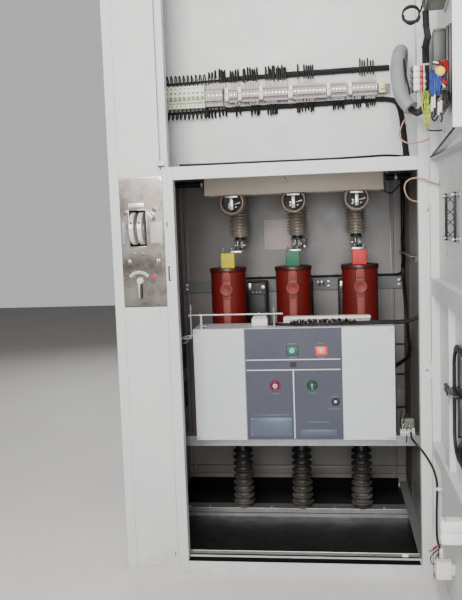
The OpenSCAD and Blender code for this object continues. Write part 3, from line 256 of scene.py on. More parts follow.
# Each row: the base and the second colour, from 0 to 255 or as the name of a user's colour; the cloud's scale, amount
# and speckle; the lowest and the highest roughness; the grain's scale, depth in metres and stretch; and the rest, where
# dust is (height, amount), spangle is (scale, amount) and all others name the shader's own sockets.
FINISHES = {
    "cabinet_paint": (
        "cabinet", (196, 198, 200), (2.2, 0.5, 0.12), (0.34, 0.48), (620, 0.00006), {"dust": (0.35, 0.35)},
    ),
    "bay_paint": ("bay", (122, 118, 116), (2, 0.6, 0.12), (0.28, 0.4), (620, 0.00006), {"dust": (0.3, 0.08)}),
    # bright steel, also used as a painted highlight on the drive plate's top edge
    "bright_steel_and_highlight": ((236, 233, 229), (216, 212, 206), (9, 0.5, 0.05), (0.24, 0.4), (700, 0.00001), {"Metallic": 0.45}),
    # dull zinc darkened further as painted shade, for the shaded base rails and rear wall rail
    "shaded_dull_zinc": ((112, 116, 115), (98, 102, 101), (5, 0.5, 0.1), (0.42, 0.58), (500, 0.00003)),
    # near-black floor with weak specular: partly a real black floor plate, partly painted shade where little light
    # reaches
    "black_floor_and_shade": ((6, 7, 7), (9, 10, 10), (3, 0.5, 0.1), (0.75, 0.9), (500, 0.00003), {"Specular IOR Level": 0.15}),
    "dark_label": ((112, 114, 120), (98, 100, 106), (20, 0.5, 0.2), (0.36, 0.5), (700, 0.00002)),
    "plate_label": ((186, 181, 176), (170, 166, 161), (20, 0.5, 0.2), (0.3, 0.46), (700, 0.00002)),
    # a darker copy of the bay paint: painted shade on the right wall's sheets
    "shaded_wall_sheet": ((98, 95, 92), (88, 86, 84), (2, 0.6, 0.12), (0.4, 0.58), (620, 0.00006), {"dust": (0.3, 0.08)}),
    "black_steel": ((16, 18, 19), (30, 31, 31), (7, 0.7, 0.3), (0.4, 0.6), (500, 0.00005)),
    "zinc_steel": (
        (176, 178, 180), (150, 151, 150), (12, 0.5, 0.2), (0.3, 0.5), (500, 0.00003),
        {"spangle": (55, 0.16), "Metallic": 0.85},
    ),
    # the drive plate's steel, darkened as painted shade cast by a neighbouring cabinet's open door
    "polished_steel": (
        (166, 159, 152), (142, 134, 127), (3, 0.5, 0.02), (0.2, 0.36), (900, 0.00001, (0.05, 1, 1)), {"Metallic": 1},
    ),
    "tinned_copper": (
        (226, 223, 216), (204, 199, 188), (22, 0.5, 0.2), (0.24, 0.42), (700, 0.00002), {"Metallic": 0.8},
    ),
    "beige_paint": ((210, 197, 183), (198, 184, 169), (4, 0.5, 0.1), (0.35, 0.5), (600, 0.00005)),
    "brown_resin": ((128, 106, 90), (96, 74, 60), (16, 0.6, 0.2), (0.24, 0.42), (260, 0.00005), {"Coat Weight": 0.4}),
    "grey_brown_resin": (
        (152, 142, 130), (132, 121, 110), (14, 0.6, 0.2), (0.24, 0.42), (300, 0.00006), {"Coat Weight": 0.25},
    ),
    "dark_resin": (
        (34, 33, 31), (24, 24, 23), (12, 0.6, 0.2), (0.42, 0.58), (300, 0.00006),
        {"dust": (0.3, 0.55), "Coat Weight": 0.2},
    ),
    "black_resin": ((30, 30, 31), (40, 39, 38), (10, 0.6, 0.2), (0.42, 0.6), (300, 0.00006)),
    "red_resin": ("poles", (88, 17, 14), (9, 0.6, 0.15), (0.4, 0.54), (240, 0.00008), {"Coat Weight": 0.08}),
    "red_rib": ((136, 46, 35), (118, 38, 28), (16, 0.6, 0.2), (0.5, 0.62), (240, 0.00008)),
    "dark_red_rim": ((66, 22, 18), (48, 16, 14), (16, 0.6, 0.2), (0.3, 0.5), (240, 0.00008)),
    "sleeve_yellow": ("first_phase", (190, 180, 10), (40, 0.5, 0.2), (0.5, 0.62), (300, 0.00008)),
    "sleeve_green": ("second_phase", (14, 92, 64), (40, 0.5, 0.2), (0.5, 0.62), (300, 0.00008)),
    "sleeve_red": ("third_phase", (190, 34, 36), (40, 0.5, 0.2), (0.5, 0.62), (300, 0.00008)),
    "housing_paint": ("housing", (196, 200, 205), (3, 0.5, 0.1), (0.32, 0.46), (650, 0.00006)),
    "face_paint": ("face", (62, 64, 77), (5, 0.5, 0.15), (0.34, 0.5), (700, 0.00004)),
    "face_white": ((226, 227, 230), (210, 212, 216), (30, 0.4, 0.2), (0.35, 0.5), (700, 0.00002)),
    "name_plate": (
        (96, 106, 124), (82, 92, 110), (18, 0.6, 0.2), (0.28, 0.42), (900, 0.00001, (0.05, 1, 1)), {"Metallic": 0.3},
    ),
    "button_red": ((122, 22, 70), (98, 14, 52), (50, 0.5, 0.2), (0.2, 0.34), (600, 0.00002), {"Coat Weight": 0.3}),
    "button_green": ((16, 70, 58), (11, 56, 46), (50, 0.5, 0.2), (0.2, 0.34), (600, 0.00002), {"Coat Weight": 0.3}),
    "flag_green": ((24, 112, 92), (18, 90, 74), (50, 0.5, 0.2), (0.3, 0.45), (600, 0.00002)),
    "flag_red": ((222, 84, 48), (196, 62, 34), (50, 0.5, 0.2), (0.3, 0.45), (600, 0.00002)),
    "flag_amber": ((240, 150, 118), (226, 120, 88), (50, 0.5, 0.2), (0.3, 0.45), (600, 0.00002)),
    "white_plastic": ((230, 229, 225), (214, 212, 206), (20, 0.5, 0.15), (0.34, 0.5), (700, 0.00003)),
    "grey_plastic": ((152, 150, 150), (136, 133, 134), (20, 0.5, 0.15), (0.38, 0.55), (700, 0.00003)),
    "rail_breakers": ((226, 231, 210), (210, 216, 192), (20, 0.5, 0.15), (0.34, 0.48), (700, 0.00003)),
    "toggle_green": ((126, 148, 104), (106, 128, 86), (40, 0.5, 0.15), (0.34, 0.48), (700, 0.00003)),
    "rail_terminals": ((182, 172, 170), (164, 153, 152), (24, 0.5, 0.2), (0.4, 0.55), (700, 0.00003)),
    "terminal_shade": ((112, 102, 102), (92, 83, 84), (24, 0.5, 0.2), (0.4, 0.55), (700, 0.00003)),
    "end_stop": ((236, 226, 228), (222, 210, 214), (24, 0.5, 0.2), (0.34, 0.5), (700, 0.00003)),
    "clip_yellow": ((226, 226, 150), (206, 204, 124), (24, 0.5, 0.2), (0.3, 0.45), (700, 0.00003)),
    "relay_yellow": ((224, 188, 66), (200, 160, 48), (60, 0.6, 0.3), (0.34, 0.5), (700, 0.00003)),
    "black_plastic": ((26, 27, 27), (40, 40, 39), (16, 0.5, 0.2), (0.32, 0.5), (700, 0.00003)),
    "dark_green_plastic": ((36, 44, 42), (26, 32, 31), (16, 0.5, 0.2), (0.34, 0.5), (700, 0.00003)),
    "grey_green_plastic": ((118, 124, 112), (98, 103, 93), (16, 0.5, 0.2), (0.34, 0.5), (700, 0.00003)),
    "black_wire": ("wiring", (15, 15, 14), (60, 0.5, 0.2), (0.5, 0.65), (800, 0.00002)),
    "blue_wire": ((30, 62, 140), (22, 46, 112), (60, 0.5, 0.2), (0.32, 0.5), (800, 0.00002)),
    "red_wire": ((150, 28, 34), (112, 18, 24), (60, 0.5, 0.2), (0.32, 0.5), (800, 0.00002)),
    "earth_wire": ((196, 200, 44), (92, 132, 40), (70, 0.9, 0.3), (0.32, 0.5), (800, 0.00002)),
    "tan_wire": ((176, 138, 118), (146, 108, 90), (60, 0.5, 0.2), (0.32, 0.5), (800, 0.00002)),
    "pale_wire": ((214, 206, 202), (196, 184, 180), (60, 0.5, 0.2), (0.32, 0.5), (800, 0.00002)),
    "grey_conduit": ("conduit", (128, 131, 134), (18, 0.5, 0.15), (0.36, 0.52), (700, 0.00003)),
    "rubber": ((20, 21, 22), (32, 32, 33), (24, 0.5, 0.2), (0.5, 0.7), (500, 0.00005)),
    "bare_label": ((188, 184, 180), (172, 167, 163), (20, 0.5, 0.2), (0.3, 0.46), (700, 0.00002)),
    "card_rule": ((206, 160, 170), (196, 150, 162), (10, 0.5, 0.2), (0.4, 0.55), (500, 0.00003)),
    "notice_card": ((222, 206, 208), (206, 188, 192), (10, 0.5, 0.2), (0.4, 0.55), (500, 0.00003)),
    "red_dot": ((186, 58, 70), (166, 44, 56), (60, 0.5, 0.2), (0.3, 0.45), (700, 0.00002)),
    "shadow_seam": ((52, 52, 53), (40, 40, 41), (20, 0.5, 0.2), (0.6, 0.8), (500, 0.00003)),
    "window_glass": (
        (70, 76, 78), (60, 65, 67), (4, 0.4, 0), (0.04, 0.09), (3, 0.00002), {"IOR": 1.45, "Transmission Weight": 0.9},
    ),
    "floor_cloth": ((222, 221, 218), (214, 213, 210), (1.2, 0.5, 0.06), (0.6, 0.75), (160, 0.0001)),
}


def chosen(value):
    """The shader's colour for a user's colour or for values from 0 to 255."""
    return (*(getattr(colours(), value) if isinstance(value, str) else tone(*value)), 1.0)


def finish(name):
    """The material of a finish, made when a piece first asks for it."""
    if "Bay " + name in bpy.data.materials:
        return bpy.data.materials["Bay " + name]
    base, second, cloud, gloss, grain, *rest = FINISHES[name]
    more = dict(*rest)
    material = bpy.data.materials.new("Bay " + name)
    material.use_nodes = True
    nodes = Nodes(material.node_tree)
    shader = material.node_tree.nodes["Principled BSDF"]
    place = nodes.add("TexCoord").outputs["Object"]

    def layer(group, *values):
        """A shared effect whose inputs after Place take these values in their order."""
        tree = bpy.data.node_groups.get(group) or GROUP_MAKERS[group]()
        node = nodes.add("Group", {"Place": place}, node_tree=tree)
        for socket, value in zip(list(node.inputs)[1:], values):
            nodes.put(socket, value)
        return node.outputs[0]

    look = layer("Cloudy colour", chosen(base), chosen(second), *cloud)
    if "spangle" in more:
        look = layer("Plated spangle", look, *more.pop("spangle"))
    if "dust" in more:
        look = layer("Settled dust", look, DUST_COLOUR, *more.pop("dust"))
    scale, depth, *stretch = grain
    nodes.put(shader.inputs["Base Color"], look)
    nodes.put(shader.inputs["Roughness"], layer("Uneven gloss", *gloss))
    nodes.put(shader.inputs["Normal"], layer("Fine grain", *(stretch or [(1, 1, 1)]), scale, depth))
    for label, value in more.items():
        shader.inputs[label].default_value = value
    return material


# Making pieces

FRONT_PLANE = 475  # millimetres from the origin to the cabinet's front


def at(x, depth, up):
    """A place in metres from millimetres across, behind the front plane and above the ground."""
    return Vector((x / 1000, (depth - FRONT_PLANE) / 1000, up / 1000))


def smooth_path(points, steps=6):
    """A soft curve through the given places, as a dense run of places."""
    ends = [2 * points[0] - points[1], *points, 2 * points[-1] - points[-2]]
    run = []
    for a, b, c, d in zip(ends, ends[1:], ends[2:], ends[3:]):
        for i in range(steps):
            t = i / steps
            bend = (2 * a - 5 * b + 4 * c - d) * t * t
            run.append(0.5 * (2 * b + (c - a) * t + bend + (3 * b - a - 3 * c + d) * t ** 3))
    return run + [points[-1]]


def soften(solid, edges, width, segments=2):
    """Rounds the edges over a width in metres."""
    bmesh.ops.bevel(solid, geom=edges, offset=width, affect="EDGES", segments=segments, profile=0.5, material=-1)


def stand(solid, place, along):
    """Turns a solid's Z axis along a direction and moves its origin to the place."""
    turn = along.to_track_quat("Z", "Y").to_matrix().to_4x4()
    bmesh.ops.transform(solid, matrix=Matrix.Translation(place) @ turn, verts=solid.verts)


class Form:
    """A piece in the making: solids are added one after another, each in the finish last chosen."""

    def __init__(self):
        self.mesh = bmesh.new()
        self.finishes = []
        self.current = 0
        self.turn = None

    def use(self, name):
        """Chooses the finish of the solids that follow."""
        if name not in self.finishes:
            self.finishes.append(name)
        self.current = self.finishes.index(name)
        return self

    def take(self, solid):
        """Adds a finished solid to the form."""
        if self.turn is not None:
            bmesh.ops.transform(solid, matrix=self.turn, verts=solid.verts)
        for face in solid.faces:
            face.material_index = self.current
            face.smooth = True
        part = bpy.data.meshes.new("solid")
        solid.to_mesh(part)
        solid.free()
        self.mesh.from_mesh(part)
        bpy.data.meshes.remove(part)

    def block(self, x0, x1, d0, d1, z0, z1, edge=1.0, segments=2):
        """A box with softened edges."""
        solid = bmesh.new()
        bmesh.ops.create_cube(solid, size=1.0)
        size = (abs(x1 - x0) / 1000, abs(d1 - d0) / 1000, abs(z1 - z0) / 1000)
        bmesh.ops.scale(solid, vec=size, verts=solid.verts)
        bmesh.ops.translate(solid, vec=(at(x0, d0, z0) + at(x1, d1, z1)) / 2, verts=solid.verts)
        if edge:
            soften(solid, solid.edges[:], edge / 1000, segments)
        self.take(solid)

    def rows(self, make, rows):
        """Calls one of the form's methods for every row of values."""
        for row in rows:
            make(*row)
        return self

    # each row below holds the values of one block, rod, bolt or screw
    def blocks(self, *rows):
        return self.rows(self.block, rows)

    def rods(self, *rows):
        return self.rows(self.rod, rows)

    def bolts(self, *rows):
        return self.rows(self.bolt, rows)

    def screws(self, *rows):
        return self.rows(self.screw, rows)

    def rod(self, start, end, radius, sides=20, edge=0.4):
        """A round bar between two places, given as (x, depth, up)."""
        start, end = at(*start), at(*end)
        solid = bmesh.new()
        bmesh.ops.create_cone(
            solid, cap_ends=True, segments=sides, depth=(end - start).length,
            radius1=radius / 1000, radius2=radius / 1000,
        )
        if edge:
            soften(solid, [e for e in solid.edges if any(len(f.verts) > 4 for f in e.link_faces)], edge / 1000)
        stand(solid, (start + end) / 2, end - start)
        self.take(solid)

    def lathe(self, foot, axis, profile, steps=40, closed=False):
        """A form turned on a lathe: the profile is (radius, way along the axis) in millimetres."""
        solid = bmesh.new()
        ring = [solid.verts.new((r / 1000, 0, h / 1000)) for r, h in profile]
        pairs = list(zip(ring, ring[1:])) + ([(ring[-1], ring[0])] if closed else [])
        edges = [solid.edges.new(pair) for pair in pairs]
        bmesh.ops.spin(
            solid, geom=ring + edges, cent=(0, 0, 0), axis=(0, 0, 1), angle=math.tau, steps=steps, use_merge=True,
        )
        bmesh.ops.remove_doubles(solid, verts=solid.verts[:], dist=0.000002)
        bmesh.ops.recalc_face_normals(solid, faces=solid.faces[:])
        stand(solid, at(*foot), AXES[axis])
        self.take(solid)

    def ring(self, foot, axis, inner, outer, high, steps=20):
        """A plain ring."""
        self.lathe(foot, axis, [(inner, 0), (outer, 0), (outer, high), (inner, high)], steps, True)

    def bolt(self, place, axis, across=13, head=7, washer=12, stud=0):
        """A hexagon bolt head or nut on its washer, with a stud end where it has one."""
        base, step = Vector(place), AXES[axis]
        if washer:
            self.rod(base, base + step * 1.6, washer, 20, 0.3)
        self.rod(base + step * 1.4, base + step * (1.6 + head), across / 2 * 1.12, 6, 0.8)
        if stud:
            self.rod(base + step * (1 + head), base + step * (2 + head + stud), across * 0.27, 12, 0.6)

    def screw(self, place, axis, radius=4.5, height=2.4):
        """A pan-head screw with a sunk middle."""
        shares = ((0, 0), (1, 0), (1, 0.35), (0.86, 0.8), (0.6, 1), (0.32, 1), (0.2, 0.45), (0, 0.45))
        self.lathe(place, axis, [(radius * across, height * up) for across, up in shares], 16)

    def wires(self, paths, radius, sides=8, steps=5, swell=None):
        """Round wires along smooth paths, all of one radius; swell gives the radius factor of each step."""
        curve = bpy.data.curves.new("run", "CURVE")
        curve.dimensions = "3D"
        curve.bevel_depth = radius / 1000
        curve.bevel_resolution = max(0, sides // 2 - 2)
        curve.use_fill_caps = True
        for path in paths:
            run = [p if isinstance(p, Vector) else at(*p) for p in path]
            if steps:
                run = smooth_path(run, steps)
            spline = curve.splines.new("POLY")
            spline.points.add(len(run) - 1)
            for i, (point, place) in enumerate(zip(spline.points, run)):
                point.co = (*place, 1.0)
                point.radius = swell(i) if swell else 1.0
        holder = bpy.data.objects.new("run", curve)
        part = bpy.data.meshes.new_from_object(holder)  # the curve as a mesh
        solid = bmesh.new()
        solid.from_mesh(part)
        bmesh.ops.remove_doubles(solid, verts=solid.verts[:], dist=0.000001)
        bpy.data.objects.remove(holder)
        bpy.data.curves.remove(curve)
        bpy.data.meshes.remove(part)
        self.take(solid)

    def done(self, name, slot, *stands_for, body="cabinet", angle=34):
        """Turns the form into an object on its body; edges over the angle in degrees stay sharp."""
        mesh = bpy.data.meshes.new(name)
        self.mesh.to_mesh(mesh)
        self.mesh.free()
        for used in self.finishes:
            mesh.materials.append(finish(used))
        mesh.set_sharp_from_angle(angle=math.radians(angle))
        piece = bpy.data.objects.new(name, mesh)
        bpy.context.scene.collection.objects.link(piece)
        if body:
            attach(piece, body)
        if stands_for:
            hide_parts(*stands_for)
        return piece


# The stage

FLOOR_LEVEL = -0.0005
SURROUND = (0.84, 0.84, 0.84, 1)
SURROUND_REFLECTED, SURROUND_SEEN = 0.14, 0.62
# name, place, aim, width, strength against the key, colour
LIGHTS = (
    ("key_light", (-0.35, -3.9, 2.55), (0.05, 0.0, 1.35), 1.5, 1.15, (1.0, 0.965, 0.93)),
    ("low_light", (0.3, -4.4, 1.35), (0.05, 0.4, 1.2), 1.2, 0.3, (0.94, 0.97, 1.0)),
    ("side_light", (-2.9, -2.6, 2.4), (0.1, -0.3, 1.1), 1.8, 0.18, (0.92, 0.97, 1.0)),
    ("top_light", (0.1, -2.6, 4.2), (0.0, 0.2, 1.2), 1.8, 0.25, (1.0, 0.97, 0.94)),
    ("back_light", (-1.2, 3.4, 3.2), (0.0, 0.4, 1.2), 2.6, 0.6, (1.0, 1.0, 1.0)),
)
# the camera that was fitted to the photo: yaw, pitch and roll in degrees, the focal length in pixels of its height
CAMERA_PLACE = (0.2107, -3.1656, 1.2768)
CAMERA_ANGLES = (7.28, 5.75, -2.07)
FOCAL_PIXELS, PHOTO_HEIGHT, SENSOR = 778.3, 600.0, 36.0


class BAY_OT_stage(bpy.types.Operator):
    """Makes the pale floor, the soft lights and the camera at the photograph's angle"""
    bl_idname = "bay.stage"
    bl_label = "Floor, lights and camera"

    def execute(self, context):
        solid = bmesh.new()
        bmesh.ops.create_grid(solid, x_segments=12, y_segments=12, size=9.0)
        bmesh.ops.translate(solid, vec=(0, 0, FLOOR_LEVEL), verts=solid.verts)
        mesh = bpy.data.meshes.new("stage_floor")
        solid.to_mesh(mesh)
        solid.free()
        mesh.materials.append(finish("floor_cloth"))
        floor = bpy.data.objects.new("stage_floor", mesh)
        context.scene.collection.objects.link(floor)

        world = bpy.data.worlds.new("Bay surroundings")
        world.use_nodes = True
        nodes = Nodes(world.node_tree)
        background = world.node_tree.nodes["Background"].inputs
        background["Color"].default_value = SURROUND
        # the camera sees a paler surround than the metal reflects
        ray = nodes.add("LightPath").outputs["Is Camera Ray"]
        strength = nodes.ramp(ray, {"To Min": SURROUND_REFLECTED, "To Max": SURROUND_SEEN})
        nodes.put(background["Strength"], strength)
        context.scene.world = world
        for name, place, aim, width, share, tint in LIGHTS:
            lamp = bpy.data.lights.new(name, "AREA")
            lamp.size = width
            lamp.energy = sizes().light_power * share
            lamp.color = tint
            light = bpy.data.objects.new(name, lamp)
            light.location = place
            light.rotation_euler = (Vector(aim) - Vector(place)).to_track_quat("-Z", "Y").to_euler()
            context.scene.collection.objects.link(light)

        yaw, pitch, roll = (math.radians(a) for a in CAMERA_ANGLES)
        forward = Vector((-math.sin(yaw) * math.cos(pitch), math.cos(yaw) * math.cos(pitch), -math.sin(pitch)))
        level = Vector((math.cos(yaw), math.sin(yaw), 0))
        upright = level.cross(forward)
        right = level * math.cos(roll) + upright * math.sin(roll)
        up = upright * math.cos(roll) - level * math.sin(roll)
        lens = bpy.data.cameras.new("photo_camera")
        lens.sensor_fit = "AUTO"
        lens.sensor_width = SENSOR
        lens.lens = SENSOR * FOCAL_PIXELS / PHOTO_HEIGHT
        camera = bpy.data.objects.new("photo_camera", lens)
        view = Matrix((right, up, -forward)).transposed().to_4x4()
        view.translation = CAMERA_PLACE
        camera.matrix_world = view
        context.scene.collection.objects.link(camera)
        context.scene.camera = camera
        return {"FINISHED"}


# The cabinet

NODE_FINISHES = {
    "bay_paint": "bay_linings back_wall ceiling_plate",
    "black_steel": "floor_plates drive_bracket isolator_shaft",
    "zinc_steel": "lower_rail carrier_rail interlock_rods",
    # the base rails and the rear wall rail take a zinc darkened as painted shade
    "shaded_dull_zinc": "base_rails wall_rail",
    "tinned_copper": "earth_bar lower_bars isolator_contacts",
    "polished_steel": "drive_plate",
    "beige_paint": "isolator_frame",
    "housing_paint": "breaker_housing",
    "face_paint": "breaker_face",
    "window_glass": "main_door_window",
    "black_resin": "current_transformers",
    "cabinet_paint": "base_sills left_post mid_post right_post frame_bars top_panel upper_blank_door "
    "lower_blank_door side_sheets rear_posts rear_covers roof_plate lv_door main_door_panel main_door_ribs "
    "lv_back_panel hinge_pins",
}
# all others get soft edges
SHARP_EDGED = (
    "back_wall ceiling_plate floor_plates interlock_rods breaker_face main_door_window lv_back_panel hinge_pins"
).split()
FINE_EDGED = ("isolator_contacts", "drive_plate")
FINE_EDGE, WELD_DISTANCE, FOLD_ANGLE = 0.0005, 0.00003, 40


class BAY_OT_sheet_metal(bpy.types.Operator):
    """Gives the carried-over solids their finishes and softens the folded edges"""
    bl_idname = "bay.sheet_metal"
    bl_label = "Cabinet and solid finishes"

    def execute(self, context):
        for name, members in NODE_FINISHES.items():
            for node in members.split():
                NODES[node].data.materials.clear()
                NODES[node].data.materials.append(finish(name))
                if node in SHARP_EDGED:
                    continue
                join = NODES[node].modifiers.new("Joined corners", "WELD")
                join.merge_threshold = WELD_DISTANCE
                bevel = NODES[node].modifiers.new("Soft edges", "BEVEL")
                bevel.width = FINE_EDGE if node in FINE_EDGED else sizes().sheet_edge
                bevel.segments = 2
                bevel.limit_method = "ANGLE"
                bevel.angle_limit = math.radians(FOLD_ANGLE)
        return {"FINISHED"}


class BAY_OT_cabinet_fittings(bpy.types.Operator):
    """Makes the screws, catches and rear cover fastenings of the cabinet"""
    bl_idname = "bay.cabinet_fittings"
    bl_label = "Cabinet fittings"

    def execute(self, context):
        form = Form().use("zinc_steel")
        for x, up in ((541, 1292), (535, 747)):
            form.screw((x, 0, up), "-d", 5.5, 2.6)
        for up in (2476, 2620):
            for x in (-480, -240, 0, 240, 480):
                form.screw((x, 0, up), "-d", 4.5)
        for x in (-484, -20, 20, 484):
            for up in range(110, 2640, 280):
                form.bolt((x, 950, up), "d", 10, 4, 8)
        form.use("shadow_seam").blocks(
            (-351, -347, -0.4, 0.2, 1266, 1284, 0.1), (-352, -342, -0.4, 0.2, 1076, 1128, 0.1),
            (-372, -369, -0.4, 0.2, 66, 84, 0.1))
        form.use("cabinet_paint").blocks(
            (-346, -341, -2.2, 0.1, 1080, 1124, 0.6), (-374, -346, -6, 0.1, 1478, 1497, 1))
        form.use("shadow_seam").block(-372, -348, -6.3, -5.8, 1474.6, 1477.9, 0.1)
        # the black floor plate, the rear rail's inner face and a strip behind the sill: partly real black, partly
        # painted shade where little light reaches the floor
        form.use("black_floor_and_shade").blocks(
            (-514, 508, 2.4, 66, 48.2, 49.4, 0.3), (-514, 508, 888, 896, 5.4, 62, 0.4),
            (-514, 508, 30, 888, 5.2, 6.4, 0.3))
        form.done("cabinet_fittings", "zinc_steel")
        return {"FINISHED"}


class BAY_OT_bay_walls(bpy.types.Operator):
    """Makes the seams, the blank notice card and the brackets on the bay's walls"""
    bl_idname = "bay.bay_walls"
    bl_label = "Bay wall details"

    def execute(self, context):
        form = Form().use("shadow_seam")
        for x in (-457, 502):
            form.block(x - 1.2, x + 1.2, 899.5, 900.1, 50, 1470, 0.2)
        for low, high in ((119, 122), (80, 82)):
            form.block(-474, 544, 899.5, 900.1, low, high, 0.2)
        for low, high in ((687, 696), (548, 557), (392, 403)):
            form.block(505, 543, 895.6, 900.1, low, high, 1)
        form.use("bay_paint")
        for x in (-446, 491):
            form.block(x - 5, x + 5, 897, 900.2, 52, 1470, 1.2)
        form.block(-440, 484, 898, 900.2, 84, 117, 1)
        for i in range(6):
            form.block(508 + i * 6, 511 + i * 6, 897, 900.2, 600, 686, 0.6)
        form.block(506, 542, 896.5, 900.2, 404, 486, 1.5)
        # the shelf angle and the low gusset of the right wall
        form.blocks(
            (520, 544.7, 372, 862, 1116.4, 1119, 0.8), (542, 544.7, 372, 862, 1096, 1117, 0.8),
            (520, 546, 530, 560, 3.4, 6, 0.6), (520, 546, 557, 560, 5.6, 26, 0.6))
        # sheets on the right wall in a darker copy of the bay paint, as painted shade
        form.use("shaded_wall_sheet").blocks(
            (542.8, 544.7, 612, 893, 62, 1094, 0.8), (542.8, 544.7, 612, 893, 1121, 1424, 0.8))
        form.use("black_plastic")
        for up in (420, 600):
            for i in range(5):
                form.block(-472.2, -468, 840 + i * 10, 846 + i * 10, up, up + 120, 0.8)
        form.done("bay_wall_details", "bay_paint")

        card = Form().use("notice_card")
        card.block(-82, 38, 899, 900.1, 1142, 1279, 0.3)
        card.use("card_rule")
        for i in range(6):
            card.block(-74, 30, 898.7, 899.2, 1154 + i * 22.6, 1155 + i * 22.6, 0)
        for x in (-74, -48, -22, 4, 29):
            card.block(x, x + 1, 898.7, 899.2, 1154, 1268, 0)
        card.use("zinc_steel")
        for x in (-76, 32):
            for up in (1149, 1272):
                card.screw((x, 899, up), "-d", 3, 1.6)
        card.done("notice_card", "white_plastic")

        rail = Form().use("zinc_steel")
        rail_bolts = (
            (-452, 986), (-452, 966), (160, 984), (176, 984), (206, 986), (206, 966), (524, 986), (524, 966),
            (262, 962),
        )
        for x, up in rail_bolts:
            rail.bolt((x, 885.6, up), "-d", 10, 5, 8, 6)
        rail.use("black_resin")
        for x in (166, 184):
            rail.block(x - 3, x + 3, 879, 885.8, 968, 992, 1)
        rail.done("wall_rail_bolts", "zinc_steel")
        return {"FINISHED"}


# The isolator over the breaker

INSULATORS = (-171, 78, 327)
BELLS = (-168, 77, 323)


def shed_profile(core, shed, low, high, count):
    """The outline of a ribbed insulator body between two heights."""
    pitch = (high - low) / count
    one = (
        (core, 0), (core, 0.34), (core + 1.2, 0.42), (shed - 1.4, 0.46),
        (shed, 0.54), (shed, 0.66), (shed - 1.4, 0.72), (core + 1.2, 0.82),
    )
    return [(r, low + pitch * i + pitch * share) for i in range(count) for r, share in one] + [(core, high)]


